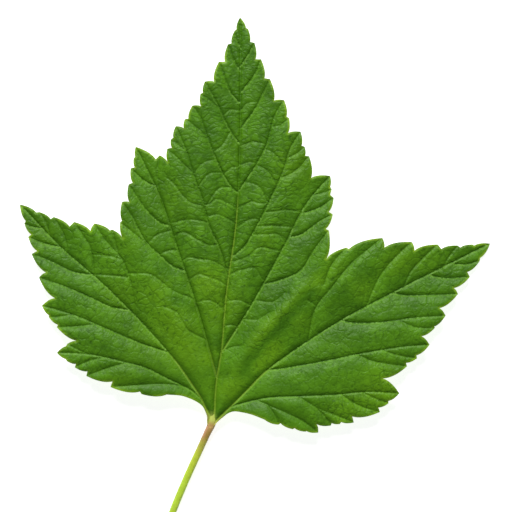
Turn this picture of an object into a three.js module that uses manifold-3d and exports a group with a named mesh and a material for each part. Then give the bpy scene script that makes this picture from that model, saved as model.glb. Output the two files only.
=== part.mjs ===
// A currant leaf as picked: a lobed, doubly toothed blade, the ribs that stand out below it and its stalk,
// all grown as one piece. It lies upper side up on a table. Millimetres, +Z up, +Y from the stalk to the
// leaf's point. The origin is on the table, under the middle of the leaf's bounding box.
import * as THREE from "three";
import { mergeVertices } from "three/addons/utils/BufferGeometryUtils.js";
import Module from "manifold-3d";

const wasm = await Module();
wasm.setup();

// Driving dimensions. Outlines and paths below are seen from above, from the point where the stalk meets
// the blade.
const BLADE_THICKNESS = 0.32;
const STALK_RADIUS = 0.72;
const STALK_SIDES = 12;
const RIB_SIDES = 6;
const SHEET_CELL = 2.9; // size of one cell of the curved sheet that the blade is cut from
const TOOTH_BULGE = 0.085; // how far a tooth's side bows out, as a share of its length
const LONGEST_STRAIGHT = 1.3; // a shorter side of a tooth is a straight line

// The relief of the blade over the table.
const PUFF = 0.8; // how far the blade swells up between the main ribs
const PUFF_REACH = 5; // distance from a rib at which most of that height is reached
const DROOP = 0.6; // how far the margin comes down again, DROOP_SPAN beyond DROOP_START
const DROOP_START = 6.5;
const DROOP_SPAN = 10;
const RIB_SOFTNESS = 2; // distance over which two ribs share a point's height
const FOLD_HEIGHT = 0.5; // the crease that runs towards the right sinus
const FOLD_WIDTH = 1.25;
const FOLD_PATH = [[4.2, 8.2], [7, 12.4], [10.1, 16.2], [13.4, 19.8], [17.8, 24.4], [20.5, 27.4]];

// The main ribs: each path in plan, the blade's height at its start, middle and end, and the rib's radius
// where it starts and ends.
const MAIN_RIBS = {
  midrib: {
    path: [[0.35, -1.9], [1.1, 3.4], [1.5, 7.4], [3.4, 24.2], [5.4, 39], [6.2, 60], [6.1, 79.4]],
    heights: [2.5, 2.9, 0.2],
    radii: [0.68, 0.16],
  },
  left_rib: {
    path: [[0.2, -1.9], [-0.8, 1.5], [-3.2, 5.7], [-7.9, 12.2], [-19.9, 24.9], [-29.7, 33.5], [-37.9, 42]],
    heights: [2.5, 2.8, 0.15],
    radii: [0.6, 0.16],
  },
  right_rib: {
    path: [[0.5, -1.9], [2.85, 0.3], [7.7, 5.1], [11.5, 8.9], [25.3, 18.3], [37, 24.6], [56.1, 34.2]],
    heights: [2.5, 2.9, 0.15],
    radii: [0.6, 0.16],
  },
  left_shoulder_rib: {
    path: [[1.5, 7.4], [-2, 20.1], [-6.7, 34.3], [-9.9, 43.7], [-14.7, 53.5]],
    heights: [2.8, 3.1, 2],
    radii: [0.42, 0.15],
  },
  right_shoulder_rib: {
    path: [[2.3, 12.3], [8.4, 22], [14.8, 33.5], [19.2, 41.9], [24.1, 47.7]],
    heights: [2.8, 3.1, 2],
    radii: [0.42, 0.15],
  },
};

// The stalk runs down from the blade to the table and ends in the swelling where it left the twig.
const STALK_PATH = [
  [1.15, 2.2, 1.75],
  [0.8, 0.2, 1.7],
  [0.4, -1.9, 1.82],
  [-0.45, -3.7, 1.75],
  [-1.65, -5.8, 1.55],
  [-4.6, -12.8, 1.05],
  [-7.5, -19.8, 0.8],
  [-11, -29.5, 0.75],
  [-13.2, -38, 1.05],
  [-13.7, -42.5, 1.3],
];
const STALK_FOOT_SWELLING = 1.75; // radius at the twig end, as a share of STALK_RADIUS
const STALK_NECK_SWELLING = 1.15; // radius where it meets the blade

// The margin, side by side of each lobe, from the base or the nearest sinus out to the lobe's point. A row
// is one tooth: the x and y of its tip, then those of the notch on its outer side.
const LEFT_LOBE_LOWER = [
  [-13.5, 4.2, -13.8, 4.7], [-19.7, 5.6, -19.3, 6.7], [-24.5, 7.8, -24.3, 8.7], [-26.8, 9.5, -26.6, 10.2],
  [-28.3, 10.7, -28.7, 11.2], [-30.4, 12.4, -28.6, 13.7], [-28.3, 14.2, -26.4, 14.8],
  [-30.4, 17.5, -30.2, 18], [-32, 19.5, -32, 19.9], [-33.4, 21.8, -30.8, 23.3], [-34, 27.4, -32.6, 28.4],
  [-35.5, 32.1, -34.4, 32.7], [-36.2, 35.5, -35.6, 36], [-37, 38.2, -36.7, 38.7],
];
const LEFT_LOBE_POINT = [-37.9, 42];
const LEFT_LOBE_UPPER = [
  [-19.4, 37, -19.8, 36.8], [-22.9, 38.2, -23.7, 36.7], [-27, 38.5, -27.9, 37.6],
  [-31.1, 39.5, -31.7, 39.1], [-34, 40.5, -34.6, 40.4],
];
const LEFT_SINUS = [-17.2, 35.2];
const LEFT_SHOULDER = [
  [-17.8, 38.4, -17.4, 38.7], [-17.4, 42.5, -16, 42.5], [-16.1, 46, -15.3, 46.3],
  [-15.7, 49.2, -14.9, 49.4], [-15.1, 51.2, -14.8, 51.5],
];
const LEFT_SHOULDER_POINT = [-14.7, 53.5];
const LEFT_SHOULDER_INNER = [[-9.9, 51.8, -10.7, 51]];
const LEFT_CORNER = [-8.3, 50.4];
const MIDDLE_LOBE_LEFT = [
  [-8.4, 53.1, -7.5, 53.3], [-7.7, 54.9, -7.2, 55.3], [-6.7, 57.6, -5.1, 57.2], [-4.9, 59, -4.2, 59.1],
  [-3.4, 61.7, -1.7, 61.6], [-1.8, 64, -1.3, 64.3], [-0.9, 66.5, 0.9, 66.5], [1.9, 70.5, 3.1, 70.5],
  [3.7, 74, 4.4, 74.2], [5, 76.7, 5.4, 77],
];
const LEAF_POINT = [6.1, 79.4];
const MIDDLE_LOBE_RIGHT = [
  [19.9, 51.6, 19.1, 51.7], [19, 53.5, 18.4, 53.7], [18.2, 56.5, 15.7, 56.2], [15.9, 59.2, 15.4, 59.5],
  [14.9, 62.8, 12.9, 62.7], [12.1, 67, 11, 67.2], [10.3, 71, 9.2, 71], [9, 74.3, 8.1, 74.5],
  [7.7, 77.1, 7.3, 77.3],
];
const RIGHT_CORNER = [20.3, 47.3];
const RIGHT_SHOULDER_POINT = [24.1, 47.7];
const RIGHT_SHOULDER = [
  [23.8, 36.8, 23.2, 37.1], [24.6, 40, 23.8, 40.5], [24.8, 43.3, 24.1, 43.9], [24.4, 45, 24.1, 45.5],
];
const RIGHT_SINUS = [23.3, 31.1];
const RIGHT_LOBE_UPPER = [
  [27.3, 33.4, 27.8, 33.1], [34.5, 35.3, 34.9, 33.4], [40.4, 34.5, 40.9, 32.8], [45.6, 34, 46.3, 33.1],
  [49.6, 33.8, 50.1, 33.4], [52.6, 34, 52.9, 33.8],
];
const RIGHT_LOBE_POINT = [56.1, 34.2];
const RIGHT_LOBE_LOWER = [
  [13.8, -1.9, 14.2, -1.6], [16.6, -2.8, 17, -2.6], [19.1, -3.3, 19.4, -3.2], [21.7, -3.5, 21.4, -1.8],
  [24.2, -2.1, 24.4, -1.6], [26, -1.8, 26.3, -1.4], [28.8, -1.5, 28.5, -0.3], [34, 0.6, 33.7, 1.5],
  [35.7, 2.3, 35.7, 2.8], [37.9, 4.3, 34.6, 7.3], [39.4, 9.7, 39.2, 10.4], [41.4, 11.3, 41.3, 11.9],
  [43.9, 14, 42.3, 15.7], [45, 17.4, 44.8, 17.6], [47.1, 19.8, 45.9, 21.3], [49.6, 24.1, 48.8, 25.3],
  [52, 27.5, 51.5, 28.5], [54, 30.7, 54.1, 31.3],
];
// The smooth edges beside the stalk, from the stalk outwards.
const BASE_LEFT = [
  [0, -2.6], [-0.45, -1.7], [-0.46, -0.35], [-0.8, 0.65], [-1.3, 1.65], [-2.3, 2.5], [-3.9, 3.3],
  [-5.6, 3.85], [-8.5, 4.1],
];
const BASE_RIGHT = [
  [0.45, -2.6], [1.1, -1.95], [1.9, -1.15], [2.85, -0.35], [3.7, 0.3], [4.85, 0.7], [6.7, 0.5], [8.4, 0.1],
  [11, -0.9],
];

const plan = ([x, y]) => new THREE.Vector2(x, y);

// The tips and notches of one side of a lobe, in order outwards.
function teeth(rows) {
  return rows.flatMap(([tipX, tipY, notchX, notchY]) => [[tipX, tipY], [notchX, notchY]]);
}

// The corners of the whole margin, clockwise from the left of the stalk.
function marginCorners() {
  return [
    ...BASE_LEFT,
    ...teeth(LEFT_LOBE_LOWER),
    LEFT_LOBE_POINT,
    ...teeth(LEFT_LOBE_UPPER).reverse(),
    LEFT_SINUS,
    ...teeth(LEFT_SHOULDER),
    LEFT_SHOULDER_POINT,
    ...teeth(LEFT_SHOULDER_INNER).reverse(),
    LEFT_CORNER,
    ...teeth(MIDDLE_LOBE_LEFT),
    LEAF_POINT,
    ...teeth(MIDDLE_LOBE_RIGHT).reverse(),
    RIGHT_CORNER,
    RIGHT_SHOULDER_POINT,
    ...teeth(RIGHT_SHOULDER).reverse(),
    RIGHT_SINUS,
    ...teeth(RIGHT_LOBE_UPPER),
    RIGHT_LOBE_POINT,
    ...teeth(RIGHT_LOBE_LOWER).reverse(),
    ...[...BASE_RIGHT].reverse(),
  ].map(plan);
}

// The margin as a closed shape: each long side of a tooth is a curve that bows outwards.
function marginShape() {
  const corners = marginCorners();
  const smooth = BASE_LEFT.length + 1;
  const shape = new THREE.Shape();
  shape.moveTo(corners[0].x, corners[0].y);
  for (let i = 1; i < corners.length; i += 1) {
    const from = corners[i - 1];
    const to = corners[i];
    const side = to.clone().sub(from);
    const onBase = i < smooth || i > corners.length - smooth;
    if (onBase || side.length() < LONGEST_STRAIGHT) {
      shape.lineTo(to.x, to.y);
    } else {
      const outward = new THREE.Vector2(-side.y, side.x).multiplyScalar(2 * TOOTH_BULGE);
      const bend = from.clone().lerp(to, 0.5).add(outward);
      shape.quadraticCurveTo(bend.x, bend.y, to.x, to.y);
    }
  }
  shape.closePath();
  return shape;
}

// Samples of each main rib's path in plan, with the blade's height there.
const RIB_SAMPLES = 40;
const ribLines = Object.fromEntries(
  Object.entries(MAIN_RIBS).map(([name, { path, heights }]) => {
    const curve = new THREE.CatmullRomCurve3(path.map(([x, y]) => new THREE.Vector3(x, y, 0)));
    const [start, middle, end] = heights;
    const rise = (share) =>
      start * (1 - share) * (1 - 2 * share) + 4 * middle * share * (1 - share) + end * share * (2 * share - 1);
    const points = curve.getSpacedPoints(RIB_SAMPLES);
    points.forEach((point, i) => point.setZ(rise(i / RIB_SAMPLES)));
    return [name, points];
  }),
);

// The distance from a point in plan to the nearest place on a rib, and the rib's height there.
function nearestOn(points, x, y) {
  let best = { distance: Infinity, height: 0 };
  for (let i = 1; i < points.length; i += 1) {
    const from = points[i - 1];
    const to = points[i];
    const along = ((x - from.x) * (to.x - from.x) + (y - from.y) * (to.y - from.y)) /
      ((to.x - from.x) ** 2 + (to.y - from.y) ** 2);
    const share = THREE.MathUtils.clamp(along, 0, 1);
    const foot = from.clone().lerp(to, share);
    const distance = Math.hypot(x - foot.x, y - foot.y);
    if (distance < best.distance) best = { distance, height: foot.z };
  }
  return best;
}

const foldLine = new THREE.CatmullRomCurve3(FOLD_PATH.map(([x, y]) => new THREE.Vector3(x, y, 0)))
  .getSpacedPoints(RIB_SAMPLES);
foldLine.forEach((point, i) => point.setZ(FOLD_HEIGHT * Math.sin((Math.PI * i) / RIB_SAMPLES) ** 0.7));

// Height of the blade's middle surface. The ribs set it, shared by closeness. Between them the blade swells
// up by PUFF, and far from them it droops again. A soft crease stands up along FOLD_PATH.
function relief(x, y) {
  let total = 0;
  let weights = 0;
  let nearest = Infinity;
  for (const points of Object.values(ribLines)) {
    const { distance, height } = nearestOn(points, x, y);
    const weight = 1 / (distance ** 2 + RIB_SOFTNESS ** 2) ** 2;
    total += weight * height;
    weights += weight;
    nearest = Math.min(nearest, distance);
  }
  const swelling = PUFF * (1 - Math.exp(-((nearest / PUFF_REACH) ** 2)));
  const droop = DROOP * (Math.max(0, nearest - DROOP_START) / DROOP_SPAN) ** 2;
  const fold = nearestOn(foldLine, x, y);
  const crease = fold.height * Math.exp(-((fold.distance / FOLD_WIDTH) ** 2));
  return total / weights + swelling - droop + crease;
}

// A three.js geometry as a manifold solid.
function solid(geometry) {
  const bare = geometry.clone();
  bare.deleteAttribute("normal");
  bare.deleteAttribute("uv");
  const merged = mergeVertices(bare, 1e-4);
  return new wasm.Manifold(new wasm.Mesh({
    numProp: 3,
    vertProperties: merged.attributes.position.array,
    triVerts: new Uint32Array(merged.index.array),
  }));
}

// A manifold solid as a three.js geometry.
function geometryOf(made) {
  const mesh = made.getMesh();
  const geometry = new THREE.BufferGeometry();
  geometry.setAttribute("position", new THREE.BufferAttribute(mesh.vertProperties, 3));
  geometry.setIndex(new THREE.BufferAttribute(mesh.triVerts, 1));
  geometry.computeVertexNormals();
  return geometry;
}

// The blade: a thin sheet that follows the relief, cut to the margin.
function blade() {
  const shape = marginShape();
  const outline = new THREE.Box2().setFromPoints(shape.getPoints(3));
  const size = outline.getSize(new THREE.Vector2()).addScalar(2 * SHEET_CELL);
  const middle = outline.getCenter(new THREE.Vector2());
  const cells = size.clone().divideScalar(SHEET_CELL).ceil();
  const sheet = new THREE.BoxGeometry(size.x, size.y, BLADE_THICKNESS, cells.x, cells.y, 1);
  sheet.translate(middle.x, middle.y, 0);
  const places = sheet.attributes.position;
  for (let i = 0; i < places.count; i += 1) {
    places.setZ(i, places.getZ(i) + relief(places.getX(i), places.getY(i)));
  }
  const cutterDepth = 30;
  const cutter = new THREE.ExtrudeGeometry(shape, { depth: cutterDepth, bevelEnabled: false, curveSegments: 3 });
  cutter.translate(0, 0, -cutterDepth / 2);
  return solid(sheet).intersect(solid(cutter));
}

// A round solid along a curve, whose radius is swell(share) times the given radius, share running from 0 at
// the curve's start to 1 at its end.
function swollenTube(curve, radius, sides, steps, swell) {
  const corners = Array.from({ length: sides }, (_, i) => {
    const angle = (2 * Math.PI * i) / sides;
    return new THREE.Vector2(radius * Math.cos(angle), radius * Math.sin(angle));
  });
  const tube = new THREE.ExtrudeGeometry(new THREE.Shape(corners), { steps, extrudePath: curve });
  const line = curve.getSpacedPoints(steps);
  const places = tube.attributes.position;
  const place = new THREE.Vector3();
  for (let i = 0; i < places.count; i += 1) {
    place.fromBufferAttribute(places, i);
    const gaps = line.map((point) => point.distanceToSquared(place));
    const at = gaps.indexOf(Math.min(...gaps));
    place.sub(line[at]).multiplyScalar(swell(at / steps)).add(line[at]);
    places.setXYZ(i, place.x, place.y, place.z);
  }
  return solid(tube);
}

// One main rib: it stands out of the blade's underside and thins towards its end.
function rib(name) {
  const [startRadius, endRadius] = MAIN_RIBS[name].radii;
  const inset = 2; // samples left off each end, so that the rib stays inside the blade's margin
  const points = ribLines[name].slice(inset, RIB_SAMPLES - inset).map((point, i) => {
    const share = i / (RIB_SAMPLES - 2 * inset);
    const radius = THREE.MathUtils.lerp(startRadius, endRadius, share);
    return new THREE.Vector3(point.x, point.y, relief(point.x, point.y) - 0.8 * radius);
  });
  const curve = new THREE.CatmullRomCurve3(points);
  const taper = (share) => THREE.MathUtils.lerp(1, endRadius / startRadius, share);
  const steps = 16;
  return swollenTube(curve, startRadius, RIB_SIDES, steps, taper);
}

// The stalk, swollen at the blade and at the twig end.
function stalk() {
  const curve = new THREE.CatmullRomCurve3(STALK_PATH.map(([x, y, z]) => new THREE.Vector3(x, y, z)));
  const swell = (share) =>
    1 + (STALK_NECK_SWELLING - 1) * Math.exp(-((share / 0.12) ** 2)) +
    (STALK_FOOT_SWELLING - 1) * Math.exp(-(((1 - share) / 0.07) ** 2));
  const steps = 30;
  return swollenTube(curve, STALK_RADIUS, STALK_SIDES, steps, swell);
}

function leaf() {
  let whole = blade().add(stalk());
  for (const name of Object.keys(MAIN_RIBS)) whole = whole.add(rib(name));
  const geometry = geometryOf(whole);
  geometry.computeBoundingBox();
  const { min, max } = geometry.boundingBox;
  geometry.translate(-(min.x + max.x) / 2, -(min.y + max.y) / 2, -min.z);
  const green = new THREE.MeshStandardMaterial({ color: 0x4f8a2c, roughness: 0.5, metalness: 0 });
  const mesh = new THREE.Mesh(geometry, green);
  mesh.name = "leaf";
  return mesh;
}

const picked = new THREE.Group();
picked.add(leaf());

export default picked;
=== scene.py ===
"""A picked currant leaf, lying upper side up on a pale table.

The blade is one closed shell: an upper skin, an underside and the thin rim that joins them. Both skins are
heights over the same plan, in millimetres from the point where the stalk meets the blade. The stalk is a
profile carried along its curve. Every length is in millimetres until a mesh is made.
"""

from __future__ import annotations

import logging
from dataclasses import dataclass, field, fields
from enum import Enum

import bpy
import numpy as np
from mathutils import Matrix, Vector
from mathutils.geometry import delaunay_2d_cdt


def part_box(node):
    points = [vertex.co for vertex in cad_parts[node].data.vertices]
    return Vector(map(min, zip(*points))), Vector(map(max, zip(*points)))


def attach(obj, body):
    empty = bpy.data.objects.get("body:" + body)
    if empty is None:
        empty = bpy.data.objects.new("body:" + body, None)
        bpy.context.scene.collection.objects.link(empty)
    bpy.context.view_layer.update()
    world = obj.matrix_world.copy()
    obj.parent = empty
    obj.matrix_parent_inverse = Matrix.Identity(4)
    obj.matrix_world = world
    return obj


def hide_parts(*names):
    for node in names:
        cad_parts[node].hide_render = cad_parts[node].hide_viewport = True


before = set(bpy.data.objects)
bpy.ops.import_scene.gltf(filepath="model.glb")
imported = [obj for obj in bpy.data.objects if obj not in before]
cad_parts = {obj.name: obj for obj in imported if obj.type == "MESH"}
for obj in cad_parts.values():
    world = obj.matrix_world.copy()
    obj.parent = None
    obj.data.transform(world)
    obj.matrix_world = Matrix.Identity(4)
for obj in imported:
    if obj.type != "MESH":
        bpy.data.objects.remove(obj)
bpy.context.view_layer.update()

LOG = logging.getLogger("currant_leaf")
MM = 0.001
SEED = 11
Path = tuple[tuple[float, float], ...]

# --------------------------------------------------------------------------------------------------------
# The plan of the leaf
# --------------------------------------------------------------------------------------------------------

# One row is one tooth: the x and y of its tip, then those of the notch on its outer side. Each list runs
# from the base, or from the nearest sinus, out to the lobe's point.
LEFT_LOBE_LOWER = (
    (-13.5, 4.2, -13.8, 4.7), (-19.7, 5.6, -19.3, 6.7), (-24.5, 7.8, -24.3, 8.7), (-26.8, 9.5, -26.6, 10.2),
    (-28.3, 10.7, -28.7, 11.2), (-30.4, 12.4, -28.6, 13.7), (-28.3, 14.2, -26.4, 14.8),
    (-30.4, 17.5, -30.2, 18), (-32, 19.5, -32, 19.9), (-33.4, 21.8, -30.8, 23.3), (-34, 27.4, -32.6, 28.4),
    (-35.5, 32.1, -34.4, 32.7), (-36.2, 35.5, -35.6, 36), (-37, 38.2, -36.7, 38.7),
)
LEFT_LOBE_POINT = (-37.9, 42)
LEFT_LOBE_UPPER = (
    (-19.4, 37, -19.8, 36.8), (-22.9, 38.2, -23.7, 36.7), (-27, 38.5, -27.9, 37.6),
    (-31.1, 39.5, -31.7, 39.1), (-34, 40.5, -34.6, 40.4),
)
LEFT_SINUS = (-17.2, 35.2)
LEFT_SHOULDER = (
    (-17.8, 38.4, -17.4, 38.7), (-17.4, 42.5, -16, 42.5), (-16.1, 46, -15.3, 46.3),
    (-15.7, 49.2, -14.9, 49.4), (-15.1, 51.2, -14.8, 51.5),
)
LEFT_SHOULDER_POINT = (-14.7, 53.5)
LEFT_SHOULDER_INNER = ((-9.9, 51.8, -10.7, 51),)
LEFT_CORNER = (-8.3, 50.4)
MIDDLE_LOBE_LEFT = (
    (-8.4, 53.1, -7.5, 53.3), (-7.7, 54.9, -7.2, 55.3), (-6.7, 57.6, -5.1, 57.2), (-4.9, 59, -4.2, 59.1),
    (-3.4, 61.7, -1.7, 61.6), (-1.8, 64, -1.3, 64.3), (-0.9, 66.5, 0.9, 66.5), (1.9, 70.5, 3.1, 70.5),
    (3.7, 74, 4.4, 74.2), (5, 76.7, 5.4, 77),
)
LEAF_POINT = (6.1, 79.4)
MIDDLE_LOBE_RIGHT = (
    (19.9, 51.6, 19.1, 51.7), (19, 53.5, 18.4, 53.7), (18.2, 56.5, 15.7, 56.2), (15.9, 59.2, 15.4, 59.5),
    (14.9, 62.8, 12.9, 62.7), (12.1, 67, 11, 67.2), (10.3, 71, 9.2, 71), (9, 74.3, 8.1, 74.5),
    (7.7, 77.1, 7.3, 77.3),
)
RIGHT_CORNER = (20.3, 47.3)
RIGHT_SHOULDER_POINT = (24.1, 47.7)
RIGHT_SHOULDER = (
    (23.8, 36.8, 23.2, 37.1), (24.6, 40, 23.8, 40.5), (24.8, 43.3, 24.1, 43.9), (24.4, 45, 24.1, 45.5),
)
RIGHT_SINUS = (23.3, 31.1)
RIGHT_LOBE_UPPER = (
    (27.3, 33.4, 27.8, 33.1), (34.5, 35.3, 34.9, 33.4), (40.4, 34.5, 40.9, 32.8), (45.6, 34, 46.3, 33.1),
    (49.6, 33.8, 50.1, 33.4), (52.6, 34, 52.9, 33.8),
)
RIGHT_LOBE_POINT = (56.1, 34.2)
RIGHT_LOBE_LOWER = (
    (13.8, -1.9, 14.2, -1.6), (16.6, -2.8, 17, -2.6), (19.1, -3.3, 19.4, -3.2), (21.7, -3.5, 21.4, -1.8),
    (24.2, -2.1, 24.4, -1.6), (26, -1.8, 26.3, -1.4), (28.8, -1.5, 28.5, -0.3), (34, 0.6, 33.7, 1.5),
    (35.7, 2.3, 35.7, 2.8), (37.9, 4.3, 34.6, 7.3), (39.4, 9.7, 39.2, 10.4), (41.4, 11.3, 41.3, 11.9),
    (43.9, 14, 42.3, 15.7), (45, 17.4, 44.8, 17.6), (47.1, 19.8, 45.9, 21.3), (49.6, 24.1, 48.8, 25.3),
    (52, 27.5, 51.5, 28.5), (54, 30.7, 54.1, 31.3),
)
# The smooth edges beside the stalk, from the stalk outwards.
BASE_LEFT = (
    (0, -2.6), (-0.45, -1.7), (-0.46, -0.35), (-0.8, 0.65), (-1.3, 1.65), (-2.3, 2.5), (-3.9, 3.3),
    (-5.6, 3.85), (-8.5, 4.1),
)
BASE_RIGHT = (
    (0.45, -2.6), (1.1, -1.95), (1.9, -1.15), (2.85, -0.35), (3.7, 0.3), (4.85, 0.7), (6.7, 0.5), (8.4, 0.1),
    (11, -0.9),
)


class Rank(Enum):
    """The veins by size, from the ribs of the lobes down to the links between side veins."""

    RIB = 1
    SIDE = 2
    BRANCH = 3
    LINK = 4


MIDRIB: Path = (
    (0.35, -1.9), (0.7, -1.0), (1.05, 0.9), (1.15, 3.4), (1.5, 7.4), (2.4, 12.6), (3.4, 24.2), (5.4, 39),
    (6.2, 60), (6.1, 79.4),
)
LEFT_RIB: Path = (
    (0.2, -1.9), (0.15, -0.4), (-0.8, 1.5), (-1.8, 3.6), (-3.2, 5.7), (-7.9, 12.2), (-19.9, 24.9),
    (-29.7, 33.5), (-37.9, 42),
)
RIGHT_RIB: Path = (
    (0.5, -1.9), (1.1, -1.4), (2.85, 0.3), (4.1, 1.5), (7.7, 5.1), (11.5, 8.9), (25.3, 18.3), (37, 24.6),
    (56.1, 34.2),
)
LEFT_SHOULDER_RIB: Path = ((1.5, 7.4), (-2, 20.1), (-6.7, 34.3), (-9.9, 43.7), (-14.7, 53.5))
RIGHT_SHOULDER_RIB: Path = ((2.3, 12.3), (8.4, 22), (14.8, 33.5), (19.2, 41.9), (24.1, 47.7))

RIBS: tuple[Path, ...] = (MIDRIB, LEFT_RIB, RIGHT_RIB, LEFT_SHOULDER_RIB, RIGHT_SHOULDER_RIB)

# The veins that leave a rib for a tooth.
SIDE_VEINS: tuple[Path, ...] = (
    # left lobe, lower half
    (
        (-1.6, 3.2), (-3.6, 4.9), (-5.5, 5.9), (-8.2, 7.2), (-12.9, 9.5), (-16.6, 10.5), (-24, 12.1),
        (-30.4, 12.4),
    ),
    ((-8.2, 12.5), (-13.4, 14.2), (-19.8, 16.9), (-26.7, 19.8), (-33.4, 21.8)),
    ((-16.1, 20.9), (-19.8, 21.6), (-23, 23.1), (-28.8, 25.6), (-34, 27.4)),
    ((-23, 28), (-26.7, 28.4), (-32, 30.8), (-35.5, 32.1)),
    ((-29.7, 33.5), (-32.7, 34.1), (-36.2, 35.5)),
    ((-33.6, 37.3), (-35.4, 37.5), (-37, 38.2)),
    # left shoulder
    ((-5.1, 28.8), (-7.4, 29.7), (-9.2, 31.3), (-12.8, 34.8), (-15.3, 39.4), (-17.4, 42.5)),
    ((-8.3, 37.8), (-9.9, 38.4), (-12.8, 41.2), (-16.1, 46)),
    ((-10.8, 45.8), (-12.2, 46.2), (-14.5, 48), (-15.7, 49.2)),
    # middle lobe, left half
    ((3.7, 27.6), (2.1, 33.1), (-0.1, 38), (-1.5, 43.4), (-3.3, 48.4), (-4.4, 52.1), (-6.7, 57.6)),
    ((5.5, 44.5), (4, 46), (2.1, 49.4), (-0.1, 54.6), (-1.9, 59.5), (-3.4, 61.7)),
    ((5.8, 54.3), (3.9, 57.2), (1.5, 62.2), (-0.9, 66.5)),
    ((6, 62.3), (4.4, 64.1), (2.8, 67.9), (1.9, 70.5)),
    ((6.2, 68.6), (4.8, 71), (3.7, 74)),
    ((6.2, 73.2), (5.4, 75), (5, 76.7)),
    # middle lobe, right half
    ((4.6, 31.6), (6.9, 33.5), (10.3, 39.3), (13.2, 45.2), (15, 49.4), (16, 52.8), (18.2, 56.5)),
    ((5.9, 44.8), (8.4, 48.4), (11.4, 53.9), (13.1, 59.8), (14.9, 62.8)),
    ((6.2, 57.2), (8.9, 60.7), (10.1, 63), (12.1, 67)),
    ((6.2, 64.3), (9, 67.9), (10.3, 71)),
    ((6.2, 69.6), (7.8, 72), (9, 74.3)),
    # right shoulder
    ((11.2, 26.2), (13.5, 26.7), (18.2, 28.8), (20.5, 32.4), (23.8, 36.8)),
    ((16.4, 35.5), (18.2, 35.9), (21.7, 38.4), (24.6, 40)),
    ((19.1, 40.3), (22.1, 41.4), (24.8, 43.3)),
    # right lobe, lower half
    ((4.2, 1.6), (6.5, 2.3), (9.3, 3), (12.2, 3.5), (19.3, 3.8), (25.8, 4.1), (31, 4.6), (37.9, 4.3)),
    ((11.5, 9), (14, 9.2), (23.3, 10.8), (29.5, 12.1), (38.7, 13.6), (43.9, 14)),
    ((26.1, 18.9), (28.4, 18.4), (33.1, 18.4), (41.3, 19.4), (47.1, 19.8)),
    ((36.7, 24.3), (38.7, 23.9), (43.9, 23.9), (49.6, 24.1)),
    ((44.4, 27.8), (46.5, 27.3), (52, 27.5)),
    ((49.1, 30.1), (51.4, 30), (54, 30.7)),
)

# The weaker veins: those in the upper halves of the side lobes, and the forks of the side veins.
BRANCH_VEINS: tuple[Path, ...] = (
    # left lobe, upper half
    ((-14.8, 20), (-15.6, 26), (-17.1, 30.5), (-18.7, 32.6), (-20.9, 35), (-22.9, 38.2)),
    ((-23, 28.1), (-23.5, 32.1), (-24, 33.9), (-25.6, 36.3), (-27, 38.5)),
    ((-28.5, 32.3), (-28.9, 35.6), (-31.1, 39.5)),
    ((-32, 35.8), (-32.5, 38), (-34, 40.5)),
    # right lobe, upper half
    ((19.7, 15), (21.2, 21.3), (24.4, 25.4), (28.2, 30.1), (31.4, 32.8), (34.5, 35.3)),
    ((31.3, 21.6), (34, 27.6), (37.2, 31.5), (40.4, 34.5)),
    ((38.8, 25.7), (40.2, 28.5), (42.4, 31), (45.6, 34)),
    ((46.3, 28.9), (47.5, 31), (49.6, 33.8)),
    # forks
    ((-5.5, 5.9), (-10, 6.2), (-15, 5.9), (-19.7, 5.6)),
    ((-16.6, 10.4), (-19.5, 9.6), (-24.5, 7.8)),
    ((-20.8, 11.5), (-23.6, 10.9), (-26.8, 9.5)),
    ((-24, 12.1), (-26.4, 13.1), (-28.3, 14.2)),
    ((-22.7, 18.1), (-26.2, 17.7), (-30.4, 17.5)),
    ((-27.6, 20), (-29.8, 19.6), (-32, 19.5)),
    ((-18.1, 31.8), (-18.8, 34.5), (-19.4, 37)),
    ((-11.8, 33.6), (-14.8, 36), (-17.8, 38.4)),
    ((-9.1, 41.2), (-10, 44.5), (-10.4, 48), (-9.9, 51.8)),
    ((-3.4, 48.3), (-5.5, 50.4), (-8.4, 53.1)),
    ((-4.6, 52.6), (-6, 53.6), (-7.7, 54.9)),
    ((-0.5, 55.6), (-2.7, 57.4), (-4.9, 59)),
    ((2, 61.2), (0.2, 62.6), (-1.8, 64)),
    ((14.1, 47.1), (17.1, 48.6), (19.9, 51.6)),
    ((15.6, 51.2), (17.3, 52), (19, 53.5)),
    ((12.3, 57.4), (14.2, 57.8), (15.9, 59.2)),
    ((20.9, 43.9), (22.6, 44.2), (24.4, 45)),
    ((22.9, 26), (24.3, 29.8), (27.3, 33.4)),
    ((9.3, 3), (14, 1), (18.4, -1.1), (21.7, -3.5)),
    ((11.5, 2.2), (13, 0), (13.8, -1.9)),
    ((17.7, 3.8), (21.2, 1.6), (25.8, -0.3), (28.8, -1.5)),
    ((21.4, 1.4), (23, -0.3), (24.2, -2.1)),
    ((26.4, 4.1), (28.4, 2.6), (31, 1.4), (34, 0.6)),
    ((30.4, 4.6), (33, 3.3), (35.7, 2.3)),
    ((29.5, 12.1), (32, 10.9), (36, 10.1), (39.4, 9.7)),
    ((34.4, 12.9), (38, 11.8), (41.4, 11.3)),
    ((37.9, 18.8), (41.4, 17.4), (45, 17.4)),
)

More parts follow.
